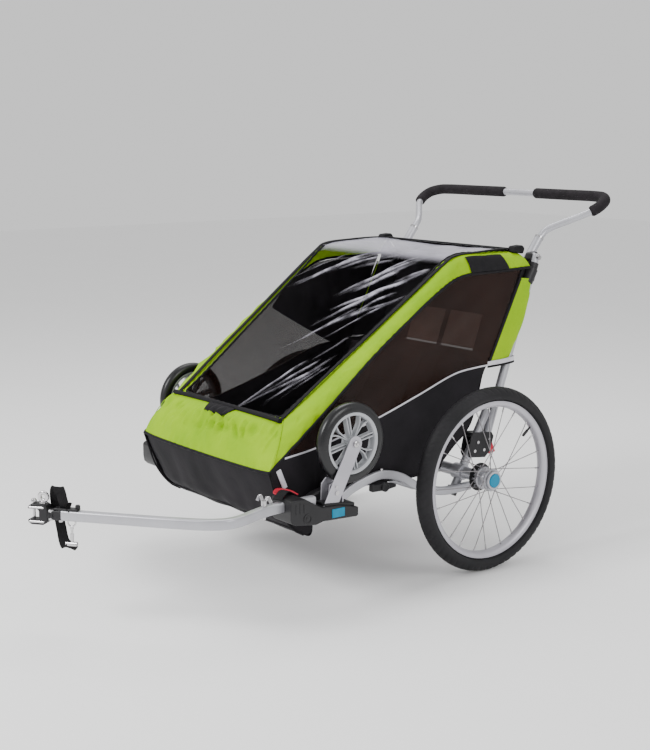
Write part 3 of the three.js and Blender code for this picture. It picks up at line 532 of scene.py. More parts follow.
reflective_tape = finish("reflective_tape", 0.35, 0.1, (0.62, 0.61, 0.66))
drift(reflective_tape, (0.55, 0.54, 0.59), (0.70, 0.69, 0.73), 30)
weave(reflective_tape, 0.0014, 0.3, 0.0003)

brown_mesh = finish("brown_mesh", 0.8, 0.0, (0.22, 0.07, 0.03), Alpha=0.66)
drift(brown_mesh, (0.18, 0.055, 0.022), (0.26, 0.085, 0.04), 30)
weave(brown_mesh, 0.0035, 0.9, 0.0012)

seat_cloth = finish("seat_cloth", 0.85, 0.0, (0.014, 0.011, 0.013), Specular_IOR_Level=0.15)
drift(seat_cloth, (0.010, 0.008, 0.010), (0.020, 0.015, 0.018), 9)
weave(seat_cloth, 0.0030, 0.15, 0.0004)

floor_paint = finish("studio_floor", 0.6, 0.0, (0.93, 0.93, 0.93))
drift(floor_paint, (0.925, 0.925, 0.925), (0.935, 0.935, 0.935), 2)
floor.data.materials.append(floor_paint)


def film(name, alpha, crease_alpha, roof_alpha, color, roughness, creases):
    """Clear flexible sheet: see-through and glossy, painted white as a highlight where the sheet's own
    `crease` attribute is high, and painted milky white as a reflection of the studio over the level
    roof part, found by height in object space."""
    m = finish(name, roughness, 0.0, color, IOR=1.5, Specular_IOR_Level=0.35)
    shader = m.node_tree.nodes["Principled BSDF"]
    noise_relief(m, 5, creases, 0.004, detail=0.0, stretch=(1.0, 0.35, 0.35))
    # Painted highlight: where the sheet's crease attribute is high, broken up by noise, the film turns white
    # and less clear.
    crease_highlight = node(m, "ShaderNodeAttribute", {"attribute_name": "crease"})
    split = node(m, "ShaderNodeSeparateXYZ")
    link(m, object_space(m), "Object", split, "Vector")
    # Painted reflection: above the roof's height the film turns milky white and less clear, standing for the
    # white studio mirrored in it.
    roof = node(m, "ShaderNodeMapRange", None, {"From Min": 0.818, "From Max": 0.842, "To Min": alpha,
                                                "To Max": roof_alpha})
    link(m, split, "Z", roof, "Value")
    broken = node(m, "ShaderNodeTexNoise", None, {"Scale": 26.0, "Detail": 3.0})
    link(m, object_space(m), "Object", broken, "Vector")
    patchy_highlight = node(m, "ShaderNodeMapRange", None, {"From Min": 0.32, "From Max": 0.62, "To Min": 0.15,
                                                  "To Max": crease_alpha})
    link(m, broken, "Fac", patchy_highlight, "Value")
    white = node(m, "ShaderNodeMath", {"operation": "MULTIPLY"})
    sharp = node(m, "ShaderNodeMapRange", None, {"From Min": 0.12, "From Max": 1.0, "To Min": 0.0,
                                                 "To Max": 1.0})
    link(m, crease_highlight, "Fac", sharp, "Value")
    link(m, sharp, "Result", white, 0)
    link(m, patchy_highlight, "Result", white, 1)
    total = node(m, "ShaderNodeMath", {"operation": "ADD", "use_clamp": True})
    link(m, roof, "Result", total, 0)
    link(m, white, "Value", total, 1)
    link(m, total, "Value", shader, "Alpha")
    # Colour goes from a dark tint where the film is clear to the white of the painted highlights and painted
    # roof reflection.
    tint_to_highlight = node(m, "ShaderNodeValToRGB")
    tint_to_highlight.color_ramp.elements[0].position = alpha
    tint_to_highlight.color_ramp.elements[0].color = (0.085, 0.078, 0.092, 1)
    tint_to_highlight.color_ramp.elements[1].position = 0.36
    tint_to_highlight.color_ramp.elements[1].color = (*color, 1)
    link(m, total, "Value", tint_to_highlight, "Fac")
    link(m, tint_to_highlight, "Color", shader, "Base Color")
    return m


# The colour given is the white of the painted highlights and painted roof reflection.
window_film = film("window_film", 0.0, 0.5, 0.5, (0.66, 0.64, 0.74), 0.2, 0.2)
tinted_net = finish("tinted_net", 0.3, 0.0, (0.020, 0.010, 0.008), Alpha=0.72, Specular_IOR_Level=0.12)
drift(tinted_net, (0.015, 0.008, 0.006), (0.026, 0.013, 0.010), 6)
print(len(bpy.data.materials), "finishes")

# %% [markdown]
# ## Big wheels
# The tyre is a ring whose height changes round and across it: shallow slanted grooves over the
# crown. The rim is a double-walled channel. Twenty-four thin spokes leave the hub's two flanges
# in crossing pairs and end in nipples; each spoke's rim angle is its hub angle plus or minus a
# sixth of a turn.

# %% Tyre and rim
TYRE_R, TYRE_W = WHEEL_R / MM, 46.0
HALF_TRACK = TRACK / MM
RIM_OUT, RIM_IN = 213.0, 196.0


def tyre_shape(centre_x, s):
    """r = ring radius + section radius x cos(phi); x = section radius x sin(phi). Grooves 1 mm deep
    follow slanted lines where cos(pitches x theta + slant x |phi|) is near one."""
    around, across, pitches = 720, 40, 64
    theta, phi = np.meshgrid(np.linspace(0, 2 * math.pi, around, endpoint=False),
                             np.linspace(-math.pi, math.pi, across, endpoint=False), indexing="ij")
    half = TYRE_W / 2
    wave = np.cos(pitches * theta + 3.4 * np.abs(phi) ** 1.4 + np.where(phi > 0, 1.6, 0.0))
    groove = np.clip((wave - 0.45) / 0.35, 0, 1) * np.clip((1.25 - np.abs(phi)) / 0.2, 0, 1)
    groove = groove * np.clip((np.abs(phi) - 0.16) / 0.08, 0, 1)
    side_ring = 0.5 * np.clip(1 - np.abs(np.abs(phi) - 1.45) / 0.10, 0, 1)
    radius = half - 1.3 * groove + side_ring
    squash = np.where(np.abs(phi) > 2.1, 0.72, 1.0)
    r = TYRE_R - half + radius * np.cos(phi) * np.where(np.cos(phi) > 0, 1.0, 0.85)
    x = centre_x + radius * np.sin(phi) * squash
    y, z = r * np.cos(theta), r * np.sin(theta) + TYRE_R
    points = np.stack([x, y, z], -1).reshape(-1, 3)
    return points, grid_faces(around, across, True, True)


RIM_PROFILE = [(RIM_OUT, -15), (RIM_OUT + 0.6, -13.6), (210.5, -12.6), (207, -11.5), (204, 0), (207, 11.5),
               (210.5, 12.6), (RIM_OUT + 0.6, 13.6), (RIM_OUT, 15), (208, 15.4), (203.5, 14.6), (199, 10.5),
               (196.4, 5.5), (RIM_IN, 0), (196.4, -5.5), (199, -10.5), (203.5, -14.6), (208, -15.4)]
for side, s in SIDES:
    x0 = s * HALF_TRACK
    piece(f"{side}_tyre_tread", tyre_shape(x0, s), tyre_rubber, (f"{side}_tyre",))
    piece(f"{side}_rim_channel", turned(RIM_PROFILE, (x0, 0, TYRE_R), 160), flat_aluminium,
          (f"{side}_rim",))

# %% Spokes, nipples and hub
SPOKES_PER_FLANGE, FLANGE_R, FLANGE_X = 12, 26.0, 15.0
CROSSING = math.pi / 3
HUB_PROFILE = [(7.0, -29.9), (12.5, -29.9), (13.5, -28), (13.5, -19.5), (FLANGE_R + 3.5, -18.5),
               (FLANGE_R + 4.5, -17), (FLANGE_R + 4.5, -13.5), (FLANGE_R + 3, -12), (17, -11), (14.5, -7),
               (14, 0),
               (14.5, 7), (17, 11), (FLANGE_R + 3, 12), (FLANGE_R + 4.5, 13.5), (FLANGE_R + 4.5, 15.5),
               (FLANGE_R + 3, 17.6), (7.0, 17.6)]


def spokes(centre_x):
    parts, nipples = [], []
    for flange in (-1, 1):
        for k in range(SPOKES_PER_FLANGE):
            hub_angle = 2 * math.pi * k / SPOKES_PER_FLANGE + (math.pi / SPOKES_PER_FLANGE if flange > 0
                                                               else 0)
            rim_angle = hub_angle + (CROSSING if k % 2 else -CROSSING)
            lift = 1.6 if k % 2 else -1.6
            a = np.array([centre_x + flange * FLANGE_X + lift, FLANGE_R * math.cos(hub_angle),
                          TYRE_R + FLANGE_R * math.sin(hub_angle)])
            b = np.array([centre_x + flange * 2.5, (RIM_IN + 2) * math.cos(rim_angle),
                          TYRE_R + (RIM_IN + 2) * math.sin(rim_angle)])
            along = unit(b - a)
            parts.append(rod(a - along * 3, b, 1.15, 8))
            parts.append(rod(a - np.array([1.9 * flange, 0, 0]), a + np.array([1.9 * flange, 0, 0]), 2.0,
                             10))
            nipples.append(rod(b - along * 15, b - along * 1, 2.1, 10))
    return together(*parts), together(*nipples)


def toothed(radius, depth, teeth, x_low, x_high, bore, centre_y=0.0):
    """A ring with a square-toothed rim, as points round an outline; radius + depth on each tooth."""
    t = np.linspace(0, 2 * math.pi, teeth * 4, endpoint=False)
    r = np.where((np.arange(teeth * 4) // 2) % 2, radius, radius + depth)
    outer = np.stack([centre_y + r * np.cos(t), TYRE_R + r * np.sin(t)], 1)
    inner = np.stack([centre_y + bore * np.cos(t), TYRE_R + bore * np.sin(t)], 1)
    n = len(t)
    points = np.concatenate([np.column_stack([np.full(n, x), ring]) for ring in (outer, inner)
                             for x in (x_low, x_high)])
    k = np.arange(n)
    nxt = (k + 1) % n
    corners = ((0, 1), (3, 2), (1, 3), (2, 0))
    faces = [np.stack([k + a * n, nxt + a * n, nxt + b * n, k + b * n], 1) for a, b in corners]
    return points, [tuple(f) for f in np.concatenate(faces)]


for side, s in SIDES:
    x0 = s * HALF_TRACK
    wires, nipples = spokes(x0)
    piece(f"{side}_spokes", wires, spoke_steel, body=BODY[f"{side}_rim"], closed=True)
    piece(f"{side}_spoke_nipples", nipples, steel, body=BODY[f"{side}_rim"])
    hub = turned([(r, s * x) for r, x in HUB_PROFILE], (x0, 0, TYRE_R), 72)
    teeth = toothed(22, 3.2, 14, x0 - s * 30, x0 - s * 26.5, 9)
    piece(f"{side}_hub", together(hub, teeth), aluminium, (f"{side}_hub_and_spokes",))
    rotor = turned([(12, -33.2), (38.3, -33.2), (38.3, -30.4), (12, -30.4)], (0, 0, TYRE_R), 72)
    slots = []
    for k in range(8):
        a = 2 * math.pi * k / 8
        c = np.array([0, 28 * math.cos(a), TYRE_R + 28 * math.sin(a)])
        slots.append(rod(c - [33.6, 0, 0], c - [29.9, 0, 0], 4.2, 16))
    piece(f"{side}_brake_disc", ((rotor[0] * [s, 1, 1]) + [x0, 0, 0], rotor[1]), black_plastic,
          (f"{side}_brake_rotor",))
    studs = together(*slots)
    piece(f"{side}_disc_studs", (studs[0] * [s, 1, 1] + [x0, 0, 0], studs[1]), steel,
          body=BODY[f"{side}_rim"])
    lean = math.radians(38)
    stem_at = np.array([x0, (RIM_IN + 3) * math.cos(lean), TYRE_R + (RIM_IN + 3) * math.sin(lean)])
    inward = np.array([0, -math.cos(lean), -math.sin(lean)])
    stem = together(rod(stem_at, stem_at + inward * 16, 2.9, 16),
                    rod(stem_at + inward * 15, stem_at + inward * 34, 4.0, 18),
                    rod(stem_at + inward * 33.5, stem_at + inward * 36, 3.0, 16))
    piece(f"{side}_tyre_valve", stem, black_plastic, body=BODY[f"{side}_rim"])

# %% Axle pins and their blue release buttons
for side, s in SIDES:
    x0 = s * HALF_TRACK
    head = turned([(0.01, s * -102), (4.8, s * -102), (6.0, s * -100.5),
                  (6.0, s * 18.2), (24.5, s * 18.2), (25.9, s * 19.4), (25.9, s * 22.4), (24.4, s * 25.0),
                  (20.2, s * 25.0), (19.4, s * 24.2), (19.4, s * 22.8), (0.01, s * 22.8)],
                  (x0, 0, TYRE_R), 72)
    piece(f"{side}_axle_head", head, aluminium, (f"{side}_axle_pin",))
    cap = turned([(0.01, s * 23.2), (18.3, s * 23.2), (18.4, s * 25.6), (17.2, s * 27.0), (9, s * 27.6),
                  (0.01, s * 27.6)],
                 (x0, 0, TYRE_R), 72)
    piece(f"{side}_release_cap", cap, blue_plastic, (f"{side}_axle_button",))

# %% [markdown]
# ## Front (stroller) wheels
# Thick smooth tyres on moulded grey rims with curved double spokes, each hung on a flat tapered
# arm that rises from a bracket on the corner housing.

# %% Stroller wheels and arms
STROLLER = np.array([366.0, -447.0, 407.0])
STROLLER_R = 102.0
for side, s in SIDES:
    centre = STROLLER * [s, 1, 1]
    t = np.linspace(0, 2 * math.pi, 40, endpoint=False)
    half = 15.8
    crown = STROLLER_R - 21.0
    ring = [(crown + 21 * np.sign(math.cos(a)) * abs(math.cos(a)) ** 0.9 * (1.0 if math.cos(a) > 0
                                                                            else 0.28),
             half * np.sign(math.sin(a)) * abs(math.sin(a)) ** 0.8) for a in t]
    groove = []
    for r, x in ring:
        cut = sum(1.1 * math.exp(-((abs(x) - g) / 0.7) ** 2) for g in (4.5, 9.5)) if r > crown + 10 else 0.0
        side_line = 0.8 * math.exp(-((r - crown - 6) / 1.2) ** 2)
        groove.append((r - cut, x * (1 - 0.04 * side_line)))
    piece(f"{side}_front_tyre", turned(groove, centre, 160), front_rubber,
          (f"{side}_stroller_tyre",))
    rim_ring = turned([(79.3, -13), (79.3, 13), (77, 14.5), (73, 14.2), (69.5, 11.5), (68.3, 4),
                       (68.3, -4), (69.5, -11.5),
                       (73, -14.2), (77, -14.5)], centre, 128)
    hub = turned([(5.8, -15), (15, -15), (17.5, -13), (17.5, 13), (15, 15), (5.8, 15)], centre, 48)
    ribs = []
    for k in range(8):
        a = 2 * math.pi * k / 8 + 0.2
        for sweep_angle in (-0.11, 0.11):
            reach = np.array([14.0, 34.0, 54.0, 70.0])
            bends = (0.4, 0.7, 1.0, 1.9) if k % 2 else (1.6, 1.0, 0.7, 0.6)
            turn = a + sweep_angle * np.array(bends)
            path = np.stack([np.full(4, centre[0]), centre[1] + reach * np.cos(turn),
                             centre[2] + reach * np.sin(turn)], 1)
            ribs.append(sweep(spline(path, 12), soft_rectangle(3.4, 17.0, 1.2, 3), up=(1, 0, 0)))
    piece(f"{side}_front_rim", together(rim_ring, hub, *ribs), grey_plastic,
          (f"{side}_stroller_rim",))
    bolt = together(turned([(0.01, s * 28.4), (6.5, s * 28.4), (8.4, s * 27.2), (8.8, s * 22.9),
                            (0.01, s * 22.9)], centre, 36),
                    turned([(0.01, s * -21.5), (5.4, s * -21.5), (5.4, s * 22.8), (0.01, s * 22.8)],
                           centre, 30),
                    turned([(0.01, s * 30.3), (3.6, s * 30.3), (3.9, s * 28.0), (0.01, s * 28.0)], centre,
                           6))
    piece(f"{side}_front_bolt", bolt, steel, (f"{side}_stroller_bolt",))

ARM_LOW = np.array([-519.0, 272.0])
HUB_YZ = STROLLER[1:]


def stadium(a, b, radius_a, radius_b, steps=14):
    """The outline round two circles joined by their outer tangents, in (y, z)."""
    a, b = np.asarray(a, float), np.asarray(b, float)
    d = unit(b - a)
    base = math.atan2(d[1], d[0])
    t1 = np.linspace(base + math.pi / 2, base + 3 * math.pi / 2, steps)
    t2 = np.linspace(base - math.pi / 2, base + math.pi / 2, steps)
    return np.concatenate([a + radius_a * np.stack([np.cos(t1), np.sin(t1)], 1),
                           b + radius_b * np.stack([np.cos(t2), np.sin(t2)], 1)])


for side, s in SIDES:
    along = unit(HUB_YZ - ARM_LOW)
    low_end = HUB_YZ - along * 175
    outline = stadium(low_end, HUB_YZ, 20, 20)
    lower_flat = np.array([p if (p - low_end) @ along > -1 else p + along * (-(p - low_end) @ along - 1)
                           * 0.9 for p in outline])
    arm = prism_x(lower_flat, 384.5, 388.5)
    lug = prism_x([(-528, 262), (-490, 262), (-484, 300), (-490, 322), (-512, 326), (-526, 312)], 349, 353)
    cheek = prism_x([(-526, 262), (-492, 262), (-488, 300), (-505, 320), (-522, 312)], 376, 380)
    floor_plate = together(prism_x([(-528, 258), (-488, 258), (-488, 262), (-528, 262)], 349, 384.5))
    web = together(prism_x([(-486, 262), (-482, 262), (-482, 308), (-486, 302)], 353, 384.5))
    bracket = piece(f"{side}_front_arm_plate", mirrored(together(arm, lug, cheek, floor_plate, web), s),
                    flat_aluminium,
                    (f"{side}_stroller_arm",), smooth=False)
    bevelled(bracket, 0.9, 2)
    pins = []
    for y, z, r in ((-506, 292, 6.2), (-508, 308, 3.0)):
        pins.append(rod((382, y, z), (391, y, z), r, 24))
        pins.append(rod((346, y, z), (383, y, z), r * 0.62, 18))
    piece(f"{side}_front_arm_bolts", mirrored(together(*pins), s), steel,
          body=BODY[f"{side}_stroller_arm"])

# %% [markdown]
# ## Corner housings
# Moulded black blocks that lock the tow arm and the front wheel arms. The outline is the part's
# own side view; a bevel rounds every edge, and ribs and a socket lip are added on top.

# %% Housings
HOUSING = [(-655, 250), (-650, 240), (-639, 235), (-578, 226), (-556, 231), (-450, 226), (-446, 230),
           (-446, 250),
           (-500, 262), (-560, 266), (-610, 296), (-652, 297), (-655, 292)]
HUMP = [(-600, 240), (-450, 240), (-452, 286), (-500, 296), (-540, 288), (-600, 262)]
SHORT_HOUSING = [(-592, 252), (-589, 236), (-578, 225), (-556, 222), (-450, 226), (-446, 230),
                 (-446, 250), (-500, 262),
                 (-545, 268), (-566, 294), (-586, 292), (-592, 286)]
SHORT_HUMP = [(-584, 240), (-450, 240), (-452, 286), (-500, 296), (-540, 288), (-582, 272)]
for side, s in SIDES:
    outline, hump_outline = (HOUSING, HUMP) if s > 0 else (SHORT_HOUSING, SHORT_HUMP)
    main = piece(f"{side}_housing_shell", mirrored(prism_x(outline, 320, 399.5), s), black_plastic,
                 (f"{side}_corner_housing",))
    bevelled(main, 6.0, 5)
    hump = piece(f"{side}_housing_hump", mirrored(prism_x(hump_outline, 320, 346), s), black_plastic,
                 body=BODY[f"{side}_corner_housing"])
    bevelled(hump, 5.0, 4)
    tray = piece(f"{side}_housing_tray", mirrored(prism_x([(-545, 255), (-452, 252), (-452, 261),
                                                           (-500, 268), (-545, 272)],
                 344, 392), s), black_plastic, body=BODY[f"{side}_corner_housing"])
    bevelled(tray, 3.0, 3)
    button = piece(f"{side}_arm_release_button",
                   mirrored(prism_x([(-530, 235), (-491, 235), (-491, 257), (-530, 257)],
                   396.5, 401.4), s), blue_plastic, (f"{side}_housing_button",))
    bevelled(button, 1.2, 3)
    if s < 0:
        socket = block((0, 1.2), (-12, 12), (-13, 13))
        mouth = (socket[0] * [1, 1, 1], socket[1])
        lip_points = np.stack([-362 + mouth[0][:, 1], -592.6 - mouth[0][:, 0],
                               272 + mouth[0][:, 2] * 0.9], 1)
        piece("receiver_mouth_plug", (lip_points, mouth[1]), black_plastic,
              body=BODY["right_corner_housing"])
        continue
    ribs = together(*[prism_x([(y, 262), (y + 3, 262), (y + 3, 290 - 0.35 * abs(y + 630)),
                               (y, 290 - 0.35 * abs(y + 630))],
                              399, 400.4) for y in (-640, -628, -616)])
    bevelled(piece(f"{side}_housing_ribs", mirrored(ribs, s), black_plastic,
                   body=BODY[f"{side}_corner_housing"]), 0.4, 2)
    lip = turned([(9.5, s * -2), (9.5, s * 1.0), (12.5, s * 1.0), (12.5, s * -2)], (s * 399.8, -604, 246),
                 40)
    screw = turned([(0.01, s * -1), (5.5, s * -1), (5.5, s * 0.5), (3, s * 0.8), (0.01, s * 0.8)],
                   (s * 399.8, -604, 246), 30)
    piece(f"{side}_housing_screw", together(lip, screw), black_plastic,
          body=BODY[f"{side}_corner_housing"])

# %% [markdown]
# ## Frame tubes
# Round tubes swept along their centre lines; the rail is a flat bar with round edges.

# %% Rear frame, posts, struts and uprights
PIVOT = np.array([36.0, 303.0])
POST_LOW = np.array([-27.0, 194.0])
POST_DIR = unit(PIVOT - POST_LOW)
UPRIGHT_LOW, UPRIGHT_TOP = np.array([81.0, 290.0]), np.array([272.0, 816.0])
UP_DIR = unit(UPRIGHT_TOP - UPRIGHT_LOW)
axle_tube = turned([(7.2, -357.5), (15.2, -357.5), (16, -356.5), (16, 356.5), (15.2, 357.5), (7.2, 357.5)],
                   (0, 0, TYRE_R), 48)
posts, caps, pins = [], [], []
for x in (-290, 290):
    posts.append(rod((x, *POST_LOW), (x, *(PIVOT + POST_DIR * 16)), 12.5, 36))
    caps.append(rod((x, *(POST_LOW - POST_DIR * 5)), (x, *(POST_LOW + POST_DIR * 3)), 13.4, 36))
    caps.append(rod((x, *(PIVOT + POST_DIR * 13)), (x, *(PIVOT + POST_DIR * 17)), 13.0, 36))
    pins.append(rod((x + math.copysign(16, x), -25, 209), (x - math.copysign(16, x), -25, 209), 4.4, 24))
    collar_at = np.array([x, 0.0, TYRE_R])
    posts.append(turned([(16.2, -19), (20.5, -19), (21.5, -17.5), (21.5, 17.5), (20.5, 19), (16.2, 19)],
                        collar_at, 40))
piece("rear_axle_and_posts", together(axle_tube, *posts), aluminium, ("rear_frame",))
piece("post_end_caps", together(*caps), black_plastic, body=BODY["rear_frame"])
piece("post_cross_pins", together(*pins), steel, body=BODY["rear_frame"])

for side, s in SIDES:
    start, end = PIVOT + POST_DIR * 20, PIVOT + POST_DIR * 124
    piece(f"{side}_strut_tube", mirrored(rod((290, *start), (290, *end), 12.0, 36), s), aluminium,
          (f"{side}_strut",))
    piece(f"{side}_upright_tube", mirrored(rod((290, *(UPRIGHT_LOW - UP_DIR * 3)),
                                               (290, *(UPRIGHT_TOP + UP_DIR * 14)), 12.0, 36), s),
          aluminium, (f"{side}_upright",))

# %% Fold brackets, bolts and red levers
BRACKET = [(16, 300), (22, 287), (80, 280), (98, 296), (112, 336), (104, 348), (34, 356), (26, 345)]
LEVER = [(107, 321), (114, 318), (128, 288), (103, 284), (101, 300)]
for side, s in SIDES:
    plates = together(prism_x(BRACKET, 290 + 13.2, 290 + 16.2), prism_x(BRACKET, 290 - 16.2, 290 - 13.2))
    web = prism_x([(24, 346), (34, 354), (100, 347), (108, 336), (104, 334), (96, 343), (36, 350),
                   (28, 342)], 276, 304)
    clasp = prism_x([(84, 282), (97, 290), (101, 300), (100, 318), (92, 314), (90, 298)], 277, 303)
    bevelled(piece(f"{side}_fold_clasp", mirrored(together(plates, web, clasp), s), black_plastic,
                   (f"{side}_fold_bracket",)), 1.1, 3)
    heads = []
    for y, z, r in ((40, 303, 4.6), (52, 326, 4.2), (75, 302, 4.2), (94, 330, 3.4)):
        heads.append(rod((290 - 17.6, y, z), (290 + 17.6, y, z), r, 24))
    piece(f"{side}_fold_bolts", mirrored(together(*heads), s), steel,
          body=BODY[f"{side}_fold_bracket"])
    bevelled(piece(f"{side}_fold_trigger", mirrored(prism_x(LEVER, 281.5, 298.5), s), red_plastic,
                   (f"{side}_fold_lever",)), 2.4, 4)

# %% Rails and cross tubes
RAIL = [(-500, 240), (-446, 246), (-402, 268), (-352, 283), (-300, 291), (-237, 276), (-181, 244),
        (-91, 214), (17, 212)]
for side, s in SIDES:
    path = spline([(312.5, y, z) for y, z in RAIL], 60)
    rail = sweep(path, soft_rectangle(12.0, 23.0, 3.4, 5), up=(0, 0, 1))
    piece(f"{side}_rail_bar", mirrored(rail, s), aluminium, (f"{side}_base_rail",))
    knob = [turned([(0.01, s * -6), (9, s * -6), (12, s * -3), (12, s * 4), (9.5, s * 6.5), (0.01, s * 6.5)],
                   (s * 330, -302, 262), 32),
            rod((s * 318, -302, 262), (s * 326, -302, 262), 5.5, 20)]
    clip_body = prism_x([(-344, 254), (-300, 252), (-262, 256), (-262, 264), (-284, 270), (-344, 272)],
                        314, 330)
    piece(f"{side}_rail_knob", together(*knob), black_plastic,
          body=BODY[f"{side}_base_rail"])
    bevelled(piece(f"{side}_rail_clip", mirrored(clip_body, s), black_plastic,
                   body=BODY[f"{side}_base_rail"]), 3, 3)
    studs = together(rod((s * 312.5, -300, 300), (s * 312.5, -300, 308), 5.0, 20),
                     rod((s * 312.5, -430, 262), (s * 312.5, -430, 268), 4.5, 20))
    piece(f"{side}_rail_studs", studs, steel, body=BODY[f"{side}_base_rail"])
for node_name, y, z in (("front_cross_tube", -474, 238), ("middle_cross_tube", -181, 242)):
    piece(node_name + "_bar", turned([(8.6, -306), (10.6, -306), (11, -305), (11, 305), (10.6, 306),
                                      (8.6, 306)],
          (0, y, z), 36), aluminium, (node_name,))
pedal = piece("parking_brake_pedal", prism_x([(24, 262), (40, 268), (84, 266), (110, 254), (110, 248),
                                              (84, 244), (30, 250)],
              -37, 37), red_plastic, ("brake_pedal",))
bevelled(pedal, 3, 4)
for side, s in SIDES:
    piece(f"{side}_brake_rod", mirrored(rod((309, 28, 250), (364.5, 28, 250), 2.6, 20), s), steel,
          (f"{side}_brake_pin",))

# %% [markdown]
# ## Push bar
# Two sockets hold a bent bar with foam grips; a round collar clamps each socket to its upright.

# %% Handlebar, sockets, grips and collars
BAR = [(269, 333, 888), (285, 352, 902), (318, 382, 920), (350, 412, 938), (366, 438, 953), (364, 470, 971),
       (340, 491, 980), (300, 499, 982), (220, 503, 982), (140, 505, 982), (60, 507, 982), (0, 507.5, 982)]
SOCKET_AXIS = unit(np.array([316.0, 872.0]) - UPRIGHT_TOP)
bar_half = [(264.2, *(UPRIGHT_TOP + SOCKET_AXIS * 40))] + [tuple(p) for p in BAR]
full_bar = bar_half[:-1] + [BAR[-1]] + [(-x, y, z) for x, y, z in bar_half[:-1][::-1]]
bar_path = spline(full_bar, 240)
sockets, socket_rims = [], []
for s in (1, -1):
    a = np.array([s * 264.2, *(UPRIGHT_TOP - SOCKET_AXIS * 14)])
    b = np.array([s * 264.2, *(UPRIGHT_TOP + SOCKET_AXIS * 70)])
    sockets.append(rod(a, b, 12.5, 36))
    d = unit(b - a)
    socket_rims.append(rod(b - d * 4, b + d * 2, 13.4, 36))
    socket_rims.append(rod(a - d * 1.5, a + d * 4, 13.2, 36))
piece("push_bar", together(sweep(bar_path, round_section(10, 28)), *sockets), aluminium,
      ("handlebar",))
piece("push_bar_socket_rims", together(*socket_rims), steel, body=BODY["handlebar"])
for side, s in SIDES:
    body_points = [p for p in bar_path if p[0] * s > 60 and p[2] > 941]
    path = np.array(body_points)
    path = path[np.argsort(np.concatenate([[0], np.cumsum(np.linalg.norm(np.diff(path, axis=0), axis=1))]))]
    path = spline(path, 90)
    u = np.linspace(0, 1, 90)
    end_round = np.sqrt(np.clip(1 - (1 - np.minimum(u, 1 - u) / 0.022).clip(0, 1) ** 2, 0.18, 1))
    wrap = sweep(path, round_section(15.4, 32), scale=end_round)
    piece(f"{side}_foam_grip", wrap, grip_foam, (f"{side}_handle_grip",))
    u_low = UPRIGHT_TOP - UP_DIR * 62
    collar = rod((s * 290, *u_low), (s * 290, *(UPRIGHT_TOP - UP_DIR * 12)), 15.2, 36)
    ear = prism_x([(258, 800), (286, 808), (290, 824), (282, 836), (264, 832), (254, 814)], 262, 292)
    piece(f"{side}_upright_collar", together(collar), black_plastic,
          body=BODY[f"{side}_upright"])
    bevelled(piece(f"{side}_tilt_knuckle", mirrored(ear, s), black_plastic,
                   body=BODY[f"{side}_upright"]), 5, 4)
    bolt = together(rod((s * 300, 273, 820), (s * 308, 273, 820), 6.6, 28),
                    rod((s * 306, 273, 820), (s * 310, 273, 820), 4.0, 6))
    piece(f"{side}_tilt_bolt", bolt, steel, body=BODY[f"{side}_upright"])

# %% [markdown]
# ## Tow arm and coupler
# The arm is a rounded box tube bent in from the left corner to the middle. At its end a swivel
# block carries two chrome washers, a drop pin, a tie ring and the safety strap.

# %% Tow arm
ARM_ROUTE = [(363, -560), (363, -600), (363, -655), (368, -700), (383, -750), (400, -800), (403, -835),
             (385, -872),
             (330, -924), (250, -988), (170, -1050), (91, -1110)]
arm_path = spline([(x, y, 277.0) for x, y in ARM_ROUTE], 120)
piece("tow_arm", sweep(arm_path, soft_rectangle(22, 25, 5.5, 6), up=(0, 0, 1)), aluminium,
      ("hitch_arm",))

HITCH = np.array([91.0, -1110.0, 277.0])
AHEAD = np.array([-0.7934, -0.6088, 0.0])
ACROSS = np.array([0.6088, -0.7934, 0.0])


def at_hitch(shape):
    """A shape drawn with +X ahead along the arm, +Y across and z from the arm's middle, set at its end."""
    p = np.asarray(shape[0], float)
    return HITCH + p[:, :1] * AHEAD + p[:, 1:2] * ACROSS + p[:, 2:3] * np.array([0, 0, 1.0]), shape[1]


# %% Coupler
fork = at_hitch(together(block((-14, 22), (-12, 12), (-11.5, 11.5))))
bevelled(piece("tow_fork", fork, black_plastic, ("hitch_fork",)), 3, 3)
swivel = at_hitch(together(turned([(0.01, -13), (11, -13), (12.5, -11.5), (12.5, 11.5), (11, 13),
                                   (0.01, 13)],
                                  (14, 0, 0), 36, axis=2),
                           turned([(0.01, -13), (8, -13), (9, -12), (9, 12), (8, 13), (0.01, 13)],
                                  (30, 0, 0), 32, axis=1)))
piece("tow_swivel", swivel, steel, ("hitch_swivel",))
boot = at_hitch(turned([(0.01, -8), (13.5, -8), (15, -6), (13.8, -3), (15, 0), (13.8, 3), (15, 6),
                        (13.5, 8), (0.01, 8)],
                       (15, 0, 0), 40, axis=0))
piece("swivel_sleeve", boot, black_plastic, body=BODY["hitch_swivel"])
JAW = [(20, -12), (23, -20), (32, -25), (62, -25), (69, -20), (71, -13), (46, -13), (42, -9), (42, 9),
       (46, 13), (71, 13),
       (69, 19), (62, 25), (32, 26), (23, 21), (20, 12)]
across_jaw = prism_x(JAW, -15, 15)
jaw = (across_jaw[0][:, [1, 0, 2]], across_jaw[1])
bevelled(piece("tow_coupler", at_hitch(jaw), black_plastic, ("coupler_head",)), 3.4, 4)
liners = together(block((28, 67), (-16.5, 16.5), (14.5, 20.0)),
                  block((28, 67), (-16.5, 16.5), (-20.0, -14.5)))
bevelled(piece("coupler_liners", at_hitch(liners), chrome, body=BODY["coupler_head"]), 2.2, 4)
t = np.linspace(0, 2 * math.pi, 56, endpoint=False)
eye = np.stack([35 + 9.6 * np.cos(t), np.zeros(56), 41 + 9.6 * np.sin(t)], 1)
